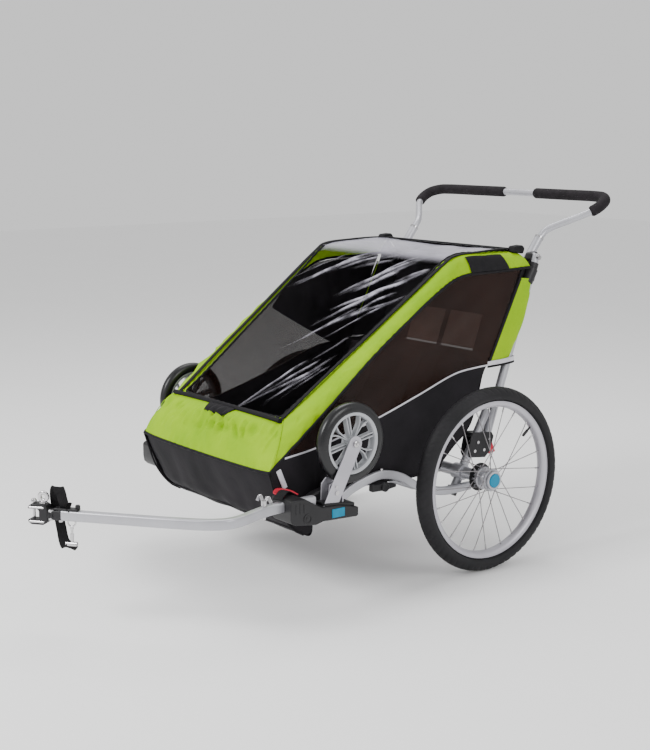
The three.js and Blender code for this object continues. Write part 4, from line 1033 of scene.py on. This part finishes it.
eye_ring = together(sweep(eye, soft_rectangle(9.0, 8.0, 2.6, 5), up=(0, 1, 0), closed=True),
                    turned([(0.01, 22), (8.4, 22), (8.6, 26), (5.2, 29), (0.01, 29)], (37, 0, 0), 36,
                           axis=2))
piece("tie_eye", at_hitch(eye_ring), chrome, body=BODY["coupler_head"])
drop_pin = together(turned([(0.01, -28), (2.6, -28), (3.4, -26), (3.4, 26), (6.6, 27), (6.9, 31),
                            (4.5, 35), (0.01, 36)],
                           (60, 0, 0), 28, axis=2))
piece("drop_pin", at_hitch(drop_pin), steel, ("hitch_pin",))
plate = at_hitch(block((-55, 6), (-10, 10), (12.4, 17.6)))
bevelled(piece("arm_top_plate", plate, black_plastic, body=BODY["hitch_arm"]), 1.6, 3)
plate_knob = turned([(0.01, 17), (5, 17), (6, 19), (6, 24), (4.5, 26.5), (0.01, 26.5)], (-52, 0, 0), 32,
                    axis=2)
piece("arm_plate_knob", at_hitch(plate_knob), black_plastic, body=BODY["hitch_arm"])
bolts = turned([(0.01, -17.5), (5, -17.5), (5, -12), (0.01, -12)], (-8, 0, 0), 24, axis=2)
piece("arm_end_bolts", at_hitch(bolts), steel, body=BODY["hitch_arm"])

# %% Safety strap, clip and lock pin
STRAP = [(-34, 2, 19), (-22, 3, 21), (-17, 6, 38), (-12, 6, 56), (-2, 0, 64), (8, -8, 56), (13, -15, 36),
         (11, -18, 12),
         (5, -18, -14), (-1, -16, -40), (-8, -11, -64), (-20, -2, -77), (-34, 5, -75), (-42, 7, -66)]
strap_path = spline(STRAP, 90)


def flat_band(path, width, thickness, cross):
    """A strap of the given width held across a path: its width lies along `cross`."""
    return sweep(path, soft_rectangle(thickness, width, thickness * 0.4, 3), up=cross)


strap = flat_band(strap_path, 26.0, 2.4, (1, 0, 0.15))
piece("tow_strap", at_hitch(strap), webbing, ("safety_strap",))
loop = np.stack([-36 + 10 * np.cos(t), np.full(56, 2.0), -16 + 10 * np.sin(t)], 1)
clip_parts = [sweep(loop, round_section(2.1, 14), up=(0, 1, 0), closed=True),
              rod((-36, 2, -25), (-36, 2, -33), 4.4, 20), rod((-36, 2, -33), (-36, 2, -44), 3.0, 20),
              rod((-36, 2, -44), (-36, 4, -64), 4.6, 20), rod((-50, 5, -68), (-22, 5, -68), 5.6, 24)]
piece("strap_tie_clip", at_hitch(together(*clip_parts)), chrome, ("strap_clip",))
LOCK = np.array([370.0, -712.0])
lock = [rod((LOCK[0], LOCK[1], 258), (LOCK[0], LOCK[1], 296), 5.0, 24)]
wing = spline([(LOCK[0] - 16, LOCK[1] - 8, 302), (LOCK[0] - 9, LOCK[1] - 5, 316), (LOCK[0], LOCK[1], 298),
               (LOCK[0] + 9, LOCK[1] + 5, 314), (LOCK[0] + 17, LOCK[1] + 8, 300)], 40)
lock.append(sweep(wing, soft_rectangle(2.6, 8.0, 1.0, 3), up=(0.6, 0.8, 0)))
lock.append(rod((LOCK[0], LOCK[1], 292), (LOCK[0], LOCK[1], 304), 7.0, 24))
piece("arm_wing_pin", together(*lock), steel, ("arm_lock_pin",))

# %% [markdown]
# ## Cabin cloth
# Each panel is one sheet between edge curves. `through` runs a smooth curve through stations, so
# two or three edges given at the same stations stay matched, and `rolled` bends the cloth over
# from the inner edge to the outer one. Creases are added along the sheet's own normals and fade
# to nothing at the sewn edges. The panels hang on the folding frame.


def through(stations, count):
    """A smooth curve through rows of any width, sampled evenly by station."""
    p = np.asarray(stations, float)
    q = np.concatenate([2 * p[:1] - p[1:2], p, 2 * p[-1:] - p[-2:-1]])
    t = np.linspace(0, len(p) - 1 - 1e-9, count)
    i = np.floor(t).astype(int)
    f = (t - i)[:, None]
    a, b, c, d = q[i], q[i + 1], q[i + 2], q[i + 3]
    return 0.5 * (2 * b + (c - a) * f + (2 * a - 5 * b + 4 * c - d) * f**2 + (3 * b - a - 3 * c + d) * f**3)


def rolled(inner, crest, outer, columns):
    """Quadratic Bezier from the inner edge to the outer, pulled towards the crest."""
    v = np.linspace(0, 1, columns)[None, :, None]
    a, b, c = (np.asarray(e)[:, None, :] for e in (inner, crest, outer))
    return (1 - v) ** 2 * a + 2 * v * (1 - v) * b + v**2 * c


def ruled(a, b, columns):
    v = np.linspace(0, 1, columns)[None, :, None]
    return np.asarray(a)[:, None, :] * (1 - v) + np.asarray(b)[:, None, :] * v


def pinned(rows, columns, power=0.7, ends=True):
    """Nought along the sheet's edges and one in its middle."""
    v = np.sin(np.linspace(0, math.pi, columns)) ** power
    u = np.sin(np.linspace(0, math.pi, rows)) ** 0.35 if ends else np.ones(rows)
    return u[:, None] * v[None, :]


def puckers(grid, pitch, height, reach):
    """Small gathers along both long edges, as sewn cloth has beside a seam."""
    along = np.concatenate([[0], np.cumsum(np.linalg.norm(np.diff(grid[:, 0], axis=0), axis=1))])
    across = np.concatenate([np.zeros((len(grid), 1)),
                             np.cumsum(np.linalg.norm(np.diff(grid, axis=1), axis=2), 1)], 1)
    wave = np.sin(2 * math.pi * along / pitch + 2.2 * np.sin(along / 71.0)) * (0.6 + 0.4
                                                                               * np.sin(along / 43.0))
    near = np.exp(-((across - reach * 0.6) / reach) ** 2) + np.exp(-((across[:, -1:] - across - reach
                                                                      * 0.6) / reach) ** 2)
    return grid + grid_normals(grid) * (wave[:, None] * near * height)[..., None]


def ridge_field(a, b, creases, bend=4):
    """Height of soft ridges over sheet coordinates (a, b) in millimetres. Each crease is (start,
    direction, length, width, height): a Gaussian across its line, fading in at its start and out
    along its length."""
    total = np.zeros(np.broadcast(a, b).shape)
    for k, (start, lean, length, width, height) in enumerate(creases):
        along = (a - start[0]) * math.cos(lean) + (b - start[1]) * math.sin(lean)
        wander = bend * np.sin(along / (length * 0.5) + k)
        off = (b - start[1]) * math.cos(lean) - (a - start[0]) * math.sin(lean) + wander
        fade = np.clip(along / (length * 0.15), 0, 1) * np.clip((length - along) / (length * 0.6), 0, 1)
        total += height * np.exp(-((off / width) ** 2)) * fade
    return total


def half_area(obj):
    mesh = obj.data
    areas = np.zeros(len(mesh.polygons))
    mesh.polygons.foreach_get("area", areas)
    return areas.sum() / 2


def flattens(obj):
    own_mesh(obj)


def cloth(name, grid, thickness, material, flat, replaces=(), body="root", folds=True):
    """A stretched panel: a closed sheet, with its area and cut size in metres printed."""
    obj = piece(name, shell(grid, thickness), material, replaces, body)
    area = half_area(obj)
    print(f"{name}: {area:.3f} m2 of cloth, cut from {flat[0]} x {flat[1]} m")
    if folds:
        flattens(obj)
    return obj


def binding(name, path, section, material, up=(0, 0, 1), folds=True, body="root"):
    obj = piece(name, sweep(path, section, up=up), material, body=body)
    if folds:
        flattens(obj)
    return obj


def mirror_stations(stations):
    """Stations from the left corner to the middle, continued to the right."""
    p = np.asarray(stations, float)
    return np.concatenate([p, p[::-1][1:] * np.tile([-1, 1, 1], p.shape[1] // 3)])


# %% [markdown]
# ### The lime window frame
# It starts at the roof's rear corner, runs forward along the roof's side and down the slope,
# crosses the nose and goes back up the other side. Rows are (inner edge, crest, outer edge).

# %% Lime window frame
SIDE_STATIONS = [
    (258, 206, 838, 303, 212, 838, 305, 240, 797),
    (262, 80, 841, 303, 88, 844, 305, 112, 793),
    (264, -30, 834, 303, -22, 840, 305, -8, 789),
    (258, -130, 764, 302, -122, 775, 305, -84, 761),
    (248, -250, 677, 301, -240, 689, 305, -208, 682),
    (238, -370, 590, 300, -360, 603, 305, -340, 589),
    (228, -480, 510, 297, -478, 520, 305, -480, 477),
    (222, -553, 460, 278, -586, 452, 297, -644, 346)]
NOSE_STATIONS = [SIDE_STATIONS[-1], (190, -556, 458, 222, -604, 458, 236, -650, 344),
                 (90, -558, 457, 100, -613, 462, 118, -653, 343), (0, -559, 457, 0, -615, 462, 0, -654, 343)]
side_rows = through(SIDE_STATIONS, 130)
nose_rows = through(mirror_stations(NOSE_STATIONS), 150)
frame_rows = np.concatenate([side_rows, nose_rows[1:-1], side_rows[::-1] * np.tile([-1, 1, 1], 3)])
frame_band = rolled(frame_rows[:, :3], frame_rows[:, 3:6], frame_rows[:, 6:], 44)
band_normals = grid_normals(frame_band)
if band_normals[200, 22, 1] > 0:
    band_normals = -band_normals
mask = pinned(*frame_band.shape[:2])
frame_band = frame_band + band_normals * (mask * 1.5)[..., None]
nose_share = np.clip((-566 - frame_band[..., 1]) / 30, 0,
                     1) * np.clip((296 - np.abs(frame_band[..., 0])) / 20, 0, 1)
across_mm = np.concatenate([np.zeros((len(frame_band), 1)),
                            np.cumsum(np.linalg.norm(np.diff(frame_band, axis=1), axis=2), 1)], 1)
along_mm = np.concatenate([[0], np.cumsum(np.linalg.norm(np.diff(frame_band[:, 22], axis=0), axis=1))])
along_mm = np.broadcast_to(along_mm[:, None], across_mm.shape)
rng = np.random.default_rng(17)
nose_from, nose_to = along_mm[129, 0], along_mm[129 + 149, 0]
nose_creases = [((rng.uniform(nose_from, nose_to), rng.uniform(60, 128)),
                 -math.pi / 2 + rng.uniform(-0.55, 0.55),
                 rng.uniform(45, 115), rng.uniform(4.0, 10.0), rng.choice([-1, 1]) * rng.uniform(1.8, 4.2))
                for _ in range(78)]
side_creases = []
for low, high in ((0, nose_from), (nose_to, along_mm[-1, 0])):
    side_creases += [((rng.uniform(low, high), rng.uniform(40, 75)), -math.pi / 2 + rng.uniform(-0.9, 0.9),
                      rng.uniform(22, 60), rng.uniform(3.0, 6.5),
                      rng.choice([-1, 1]) * rng.uniform(0.8, 2.1))
                     for _ in range(60)]
crinkle = ridge_field(along_mm, across_mm, nose_creases + side_creases)
mask = mask * np.clip((across_mm - 10) / 40, 0, 1) ** 2
frame_band = frame_band + band_normals * (mask * crinkle * 1.7)[..., None]
folds = np.sin(frame_band[..., 0] / 14.0 + 1.3 * np.sin(frame_band[..., 0] / 47.0)) * (0.5 + 0.5
                                                                                       * across_mm / 130)
frame_band = frame_band + band_normals * (mask * nose_share * folds * 2.2)[..., None]
frame_band = ripple(frame_band, band_normals * mask[..., None], 1.9, 80, 11)
frame_band = puckers(frame_band, 23, 1.7, 13)
cloth("window_frame_cloth", frame_band, 1.6, lime_cloth, (0.17, 2.62), ("cabin_cloth",))

for side, s in SIDES:
    seam = spline(frame_band[128, 3:-1] * [s, 1, 1] + [0, -1.0, 1.0], 40)
    binding(f"{side}_nose_seam", seam, round_section(1.1, 10), lime_cloth)

# %% Piping along the frame's two edges
outer_edge = frame_band[:, -1]
inner_edge = frame_band[:, 0]
binding("lower_piping", spline(outer_edge, 420) + [0, 0, -1.5], round_section(4.0, 12), binding_tape)
binding("inner_piping", spline(inner_edge, 420) + [0, 0, 1.0], round_section(3.2, 12), binding_tape)

# %% Blank label patches
for side, s in SIDES:
    rows = frame_band[:130] * [s, 1, 1]
    keep = (rows[:, 22, 1] > -2) & (rows[:, 22, 1] < 138)
    patch = rows[keep][:, 19:43]
    n = grid_normals(patch)
    n = n * np.sign((n[..., :1] * s).sum())
    patch = patch + n * 4.0
    label = piece(f"{side}_blank_patch", shell(patch, 1.2), binding_tape, body="root")
    flattens(label)
middle = frame_band[130:130 + 148]
keep = np.abs(middle[:, 3, 0]) < 62
patch = middle[keep][:, 3:19]
n = grid_normals(patch)
n = n * np.sign(-n[..., 1:2].sum())
taper = np.linspace(1.0, 0.78, patch.shape[1])[None, :]
patch = patch * np.stack([taper, np.ones_like(taper), np.ones_like(taper)], -1) + n * 4.5
flattens(piece("nose_blank_patch", shell(patch, 1.4), binding_tape, body="root"))

# %% [markdown]
# ### Window cover
# Clear film from the bottom bar up the slope and over the roof, bound at its edges. Its creases
# are ridges that leave the left edge and run down across it, steeper towards the bottom; the
# same ridges are stored as an attribute, which the film's finish paints white as a painted highlight.

# %% Film cover
COVER = [(237, -563, 458), (247, -435, 552), (257.5, -302, 646), (268, -171, 740), (276, -62, 816),
         (278, -18, 838),
         (277, 80, 844), (270, 160, 846), (262, 204, 844)]
cover_edge = through(COVER, 190)
u = np.linspace(-1, 1, 130)
film_grid = np.stack([cover_edge[:, None, 0] * u[None, :],
                      np.broadcast_to(cover_edge[:, None, 1], (190, 130)),
                      np.broadcast_to(cover_edge[:, None, 2], (190, 130))], -1)
film_normals = grid_normals(film_grid)
film_normals = film_normals * np.sign(film_normals[..., 2:3].sum())
slope_share = np.clip((-20 - film_grid[..., 1]) / 60, 0, 1)
across_share = 1 - u[None, :] ** 2
run = np.linspace(0, 1, 190)[:, None]
film_grid = film_grid + film_normals * (across_share * (5 * np.sin(math.pi * run)
                                        - 7 * (1 - slope_share)))[..., None]
rng = np.random.default_rng(5)
rise = np.concatenate([[0], np.cumsum(np.linalg.norm(np.diff(cover_edge, axis=0), axis=1))])
down = rise[-1] - np.broadcast_to(rise[:, None], (190, 130)) - 235
side_on = film_grid[..., 0]
film_creases = []
for k in range(34):
    start = (rng.uniform(120, 285), rng.uniform(-15, 470)) if k % 3 else (rng.uniform(-200, 260),
                                                                          rng.uniform(-10, 30))
    lean = math.radians(118 + 22 * (1 - np.clip(start[1] / 420, 0, 1)) + rng.uniform(-9, 9))
    film_creases.append((start, lean, rng.uniform(120, 330), rng.uniform(2.8, 8.0), rng.uniform(0.45, 1.0)))
ridges = ridge_field(side_on, down, film_creases, bend=14)
ridges = np.clip(ridges, 0, 1.2) * slope_share * np.clip(across_share * 6, 0, 1)
film_grid = film_grid + film_normals * (ridges * 3.4)[..., None]
film_grid = ripple(film_grid, film_normals * (across_share**0.5
                                              * np.sin(math.pi * run) ** 0.4)[..., None], 1.3, 150, 23, 2)
cover = cloth("clear_window_cover", film_grid, 0.6, window_film, (0.56, 0.90),
              ("window_cover",))
# The same ridges are stored as the crease attribute, which the film's finish paints white as a highlight.
crease = np.concatenate([ridges.ravel(), ridges.ravel()])
if len(crease) == len(cover.data.vertices):
    attribute = cover.data.attributes.new("crease", "FLOAT", "POINT")
    attribute.data.foreach_set("value", crease.astype(np.float32))
print("film vertices", len(cover.data.vertices), "crease values", len(crease))

# %% Cover binding and bottom bar
cover_path = through(COVER, 120)
for side, s in SIDES:
    edge = cover_path * [s, 1, 1] + [0, -0.5, 1.5]
    binding(f"{side}_cover_binding", edge, soft_rectangle(12, 3.4, 1.4, 4), binding_tape)
bar_line = np.stack([np.linspace(-246, 246, 60), np.full(60, -570.0),
                     455 + 2 * np.cos(np.linspace(-1.5, 1.5, 60))], 1)
binding("cover_bottom_bar", bar_line, soft_rectangle(22, 12, 5.0, 5), binding_tape,
        up=(0, 0.72, 1))
roof_line = np.stack([np.linspace(-262, 262, 60), np.full(60, 205.0), np.full(60, 845.0)], 1)
binding("roof_rear_binding", roof_line, soft_rectangle(14, 4, 1.6, 4), binding_tape)
for side, s in SIDES:
    corner = piece(f"{side}_roof_corner_tab", mirrored(prism_x([(186, 838), (226, 832), (232, 846),
                                                                (224, 856), (194, 854)],
                   264, 292), s), binding_tape, body="root")
    bevelled(corner, 4, 3)
    flattens(corner)

# %% [markdown]
# ### Black body cloth, side windows and rear wall
# The side is two sheets that meet on a thin reflective line: a tinted see-through window above
# and black cloth below. The underbody is one sheet that runs down the nose, round the foot well,
# along the floor and up behind the seat.

# %% Side windows, side cloth and reflective line
LINE = [(-602, 377), (-501, 391), (-307, 440), (-170, 483), (-34, 527), (40, 535), (86, 537)]
WINDOW = [((-602, 380), (-602, 377)), ((-480, 476), (-501, 391)), ((-364, 569), (-380, 420)),
          ((-260, 646), (-260, 453)),
          ((-150, 722), (-150, 489)), ((-60, 772), (-30, 528)), ((60, 789), (45, 535)),
          ((202, 794), (88, 540))]
SKIRT = [((-643, 346), (-608, 240)), ((-602, 377), (-572, 190)), ((-501, 391), (-511, 171)),
         ((-478, 397), (-494, 262)),
         ((-307, 440), (-300, 263)), ((-170, 483), (-120, 263)), ((-34, 527), (-28, 326)),
         ((40, 535), (30, 379)),
         ((86, 537), (79, 532))]
LINING = [((-206, 661), (-205, 655)), ((-170, 704), (-172, 636)), ((-120, 738), (-110, 600)),
          ((-60, 766), (-48, 566)),
          ((0, 777), (12, 536)), ((60, 784), (50, 540)), ((196, 789), (90, 545))]
lining_table = through([(-297, *top, -296, *low) for top, low in LINING], 80)
lining_grid = ripple(ruled(lining_table[:, :3], lining_table[:, 3:], 30), np.array([1.0, 0, 0]), 0.9, 90, 47)
cloth("side_lining", lining_grid, 1.4, black_cloth, (0.26, 0.40))
for side, s in SIDES:
    for name, rows, x_top, x_low, out, material, slot, flat, node_name in (
            ("side_window_sheet", WINDOW, 303.5, 302.5, 2.0, tinted_net, "tinted_mesh", (0.28, 0.72),
             f"{side}_side_window"),
            ("side_cloth", SKIRT, 302.5, 296, 5.0, black_cloth, "black_cloth", (0.24, 0.74), None)):
        table = through([(x_top, *top, x_low, *low) for top, low in rows], 120)
        table[:, 3] = np.where(table[:, 5] < 262, 290,
                               table[:, 3]) if material is black_cloth else table[:, 3]
        sheet_grid = ruled(table[:, :3], table[:, 3:], 40)
        push = pinned(120, 40)
        sheet_grid[..., 0] += push * out * 0.35
        x_way = np.zeros_like(sheet_grid)
        x_way[..., 0] = 1
        sheet_grid = ripple(sheet_grid, x_way * push[..., None], 1.6 if material is black_cloth else 1.3,
                            130, 31)
        sheet_grid[..., 0] = np.minimum(sheet_grid[..., 0], 305.2)
        sheet_grid = sheet_grid * [s, 1, 1]
        cloth(f"{side}_{name}", sheet_grid, 1.2, material, flat, (node_name,) if node_name else ())
    path = spline([(s * 304.6, y, z) for y, z in LINE], 90)
    binding(f"{side}_reflective_line", path, soft_rectangle(1.6, 4.6, 0.6, 3), reflective_tape)
    post = spline([(s * 304.6, y, z) for y, z in ((90, 545), (128, 620), (203, 768))], 40)
    binding(f"{side}_window_rear_binding", post, soft_rectangle(2.4, 9, 0.8, 3), binding_tape)
    tab = [(s * x, y, z) for x, y, z in ((304.5, -622, 350), (304, -611, 325), (302, -600, 302))]
    binding(f"{side}_corner_reflector", spline(tab, 24), soft_rectangle(14, 3.0, 1.0, 4), reflective_tape,
            up=(1, 0, 0))

# %% Underbody
UNDER = [(-652, 345), (-636, 300), (-609, 240), (-594, 211), (-566, 188), (-536, 168), (-508, 170),
         (-497, 262), (-400, 264), (-240, 264),
         (-92, 265), (-66, 290), (-28, 325), (30, 378), (56, 460), (79, 533), (130, 540), (180, 546)]
under_path = through([(0, *p) for p in UNDER], 230)[:, 1:]
u = np.linspace(-1, 1, 90)
half_width = np.where(under_path[:, 1] < 262, 290.0,
                      np.interp(under_path[:, 1], [262, 345, 540], [293, 297, 302.5]))
under_grid = np.stack([half_width[:, None] * u[None, :],
                       np.broadcast_to(under_path[:, None, 0], (230, 90)).copy(),
                       np.broadcast_to(under_path[:, None, 1], (230, 90)).copy()], -1)
corner_round = 12 * np.abs(u[None, :]) ** 8
nose_part = np.clip((-530 - under_path[:, 0]) / 60, 0, 1)[:, None]
under_grid[..., 1] += corner_round * nose_part
n = grid_normals(under_grid)
n = n * np.sign(-n[40, 45, 1])
under_grid = ripple(under_grid, n * (pinned(230, 90, 0.5) * (0.3 + 0.7 * nose_part))[..., None], 2.2, 170,
                    41)
cloth("underbody_cloth", under_grid, 1.6, black_cloth, (0.60, 1.42))
for k, (y, z) in enumerate(((-567, 188),)):
    seam_path = np.stack([np.linspace(-286, 286, 60), np.full(60, float(y)), np.full(60, float(z))], 1)
    binding(f"nose_seam_{k + 1}", seam_path, round_section(1.6, 10), binding_tape)
for side, s in SIDES:
    corner_path = spline([(s * 297, -646, 345), (s * 295, -608, 240), (s * 291, -568, 188),
                          (s * 290, -536, 168)], 60)
    binding(f"{side}_nose_corner_piping", corner_path, round_section(2.6, 12), binding_tape)

# %% Rear wall with two mesh windows
WALL_LOW, WALL_HIGH = np.array([182.0, 546.0]), np.array([266.0, 764.0])
MESH_X, MESH_Z = (10.0, 144.0), (552.0, 648.0)


def wall_point(x, z):
    y = WALL_LOW[0] + (z - WALL_LOW[1]) * (WALL_HIGH[0] - WALL_LOW[0]) / (WALL_HIGH[1] - WALL_LOW[1])
    return np.stack([x, y, z], -1)


def wall_patch(x_low, x_high, z_low, z_high, steps=(24, 24)):
    x, z = np.meshgrid(np.linspace(x_low, x_high, steps[0]), np.linspace(z_low, z_high, steps[1]),
                       indexing="ij")
    return wall_point(x, z)


strips = [wall_patch(-285, -MESH_X[1], 546, 764), wall_patch(MESH_X[1], 285, 546, 764),
          wall_patch(-MESH_X[0], MESH_X[0], 546, 764),
          wall_patch(-MESH_X[1], -MESH_X[0], MESH_Z[1], 764),
          wall_patch(MESH_X[0], MESH_X[1], MESH_Z[1], 764)]
wall = piece("rear_wall_cloth", together(*[shell(g, 1.6) for g in strips]), black_cloth,
             body="root")
flattens(wall)
top_back = ruled(through([(-285, 266, 764), (0, 266, 764), (285, 266, 764)], 60),
                 through([(-262, 207, 842), (0, 207, 842), (262, 207, 842)], 60), 24)
bulge = pinned(60, 24, 0.8, ends=False)
top_back[..., 1] += bulge * 16
flattens(piece("rear_hood_cloth", shell(top_back, 1.6), black_cloth, body="root"))
for side, s in SIDES:
    net = wall_patch(s * MESH_X[0], s * MESH_X[1], *MESH_Z)
    sheet_net = piece(f"{side}_rear_mesh", shell(net + [0, 0.3, 0], 0.8), brown_mesh,
                      body="root")
    flattens(sheet_net)

for side, s in SIDES:
    lining = ruled(through([(s * 300, 92, 548), (s * 300, 203, 768), (s * 298, 206, 800),
                            (s * 262, 203, 838)], 60),
                   through([(s * 272, 180, 546), (s * 272, 262, 760), (s * 272, 256, 790),
                            (s * 262, 207, 840)], 60), 20)
    flattens(piece(f"{side}_corner_lining", shell(lining, 1.2), black_cloth, body="root"))

# %% Rear sleeves over the uprights
for side, s in SIDES:
    rows = through([(303.5, 90, 548, 311, 150, 549, 305, 186, 553, 276, 186, 553),
                    (303.5, 128, 620, 311, 192, 622, 306, 222, 623, 274, 222, 623),
                    (303.5, 166, 694, 311, 226, 694, 306, 250, 694, 274, 250, 694),
                    (303.5, 203, 768, 309, 246, 764, 304, 270, 758, 276, 270, 758)], 70)
    v = np.linspace(0, 1, 40)[None, :, None]
    a, b, c, d = (rows[:, None, 3 * k:3 * k + 3] for k in range(4))
    sleeve = (1 - v) ** 3 * a + 3 * v * (1 - v) ** 2 * b + 3 * v**2 * (1 - v) * c + v**3 * d
    n = grid_normals(sleeve)
    n = n * np.sign(n[..., :1].sum())
    sleeve = ripple(sleeve, n * pinned(70, 40)[..., None], 1.3, 110, 53) * [s, 1, 1]
    cloth(f"{side}_sleeve_cloth", sleeve, 1.6, lime_cloth, (0.14, 0.24),
          (f"{side}_rear_sleeve",),
          body=BODY[f"{side}_rear_sleeve"], folds=False)
    low = spline([(304.5, 84, 541), (309, 140, 544), (303, 186, 547), (280, 188, 547)], 50) * [s, 1, 1]
    binding(f"{side}_sleeve_reflector", low, soft_rectangle(2.2, 12, 0.8, 3), reflective_tape,
            folds=False, body=BODY[f"{side}_rear_sleeve"])
    under = low + [0, 0, -9]
    binding(f"{side}_sleeve_hem", under, soft_rectangle(2.6, 6, 0.8, 3), binding_tape,
            folds=False, body=BODY[f"{side}_rear_sleeve"])
    top = rod((s * 290, 240, 752), (s * 290, 262, 790), 18, 32)
    bevelled(piece(f"{side}_sleeve_cap", top, black_plastic,
                   body=BODY[f"{side}_rear_sleeve"]), 3, 3)

# %% Seat
SEAT_PROFILE = [(-346, 306), (-112, 292), (-86, 306), (26, 488), (54, 544)]
seat_path = through([(0, *p) for p in SEAT_PROFILE], 70)[:, 1:]
u = np.linspace(-1, 1, 60)
seat_top = np.stack([248 * np.broadcast_to(u[None, :], (70, 60)),
                     np.broadcast_to(seat_path[:, None, 0], (70, 60)),
                     np.broadcast_to(seat_path[:, None, 1], (70, 60))], -1).copy()
n = grid_normals(seat_top)
n = n * np.sign(n[..., 2:3].sum())
cushion = 1 - np.abs(np.abs(u) * 2 - 1) ** 4
quilting = 0.5 + 0.5 * np.cos(np.linspace(0, 14 * math.pi, 70))
seat_top = seat_top + n * (pinned(70, 60, 0.35)
                           * (6 + 12 * cushion[None, :] - 3.0 * quilting[:, None] ** 4))[..., None]
seat = piece("seat_pad", shell(seat_top, 24, inside=(0, 300, 200)), seat_cloth, ("seat",))
flattens(seat)

for side, s in SIDES:
    bands = []
    for dx in (-42, 42):
        chest = [(s * 125 + dx * 0.8, 56, 552), (s * 125 + dx * 0.8, 34, 520),
                 (s * 125 + dx * 0.9, -20, 440),
                 (s * 125 + dx * 0.5, -92, 350), (s * 125 + dx * 0.15, -150, 327)]
        lap = [(s * 125 + dx * 2.2, -70, 330), (s * 125 + dx * 1.2, -120, 334),
               (s * 125 + dx * 0.2, -150, 327)]
        for route in (chest, lap):
            shifted = spline(route, 50) + [0, -14, 9]
            bands.append(sweep(shifted, soft_rectangle(24, 2.2, 0.8, 3), up=(0, -0.7, 0.7)))
    flattens(piece(f"{side}_harness_webbing", together(*bands), webbing, (f"{side}_harness",)))
    clasp_box = prism_x([(-178, 330), (-140, 328), (-140, 342), (-178, 344)], s * 125 - 17, s * 125 + 17)
    clasp_piece = piece(f"{side}_harness_clasp", clasp_box, black_plastic,
                        body=BODY[f"{side}_harness"])
    bevelled(clasp_piece, 3, 3)
    flattens(clasp_piece)

# %% Cords and webbing at the near front corner
red_loop = spline([(340, -590, 292), (322, -600, 300), (306, -622, 304), (318, -642, 299),
                   (348, -640, 297), (366, -648, 291)], 70)
piece("arm_retainer_webbing", sweep(red_loop, soft_rectangle(11, 2.0, 0.8, 3), up=(0.2, 0.3, 1)),
      red_webbing,
      body=BODY["left_corner_housing"])
tether = spline([(330, -596, 292), (336, -624, 306), (352, -650, 304), (362, -668, 297)], 50)
piece("arm_retainer_strap", sweep(tether, soft_rectangle(24, 3.0, 1.0, 3), up=(0, 0, 1)), webbing,
      body=BODY["left_corner_housing"])
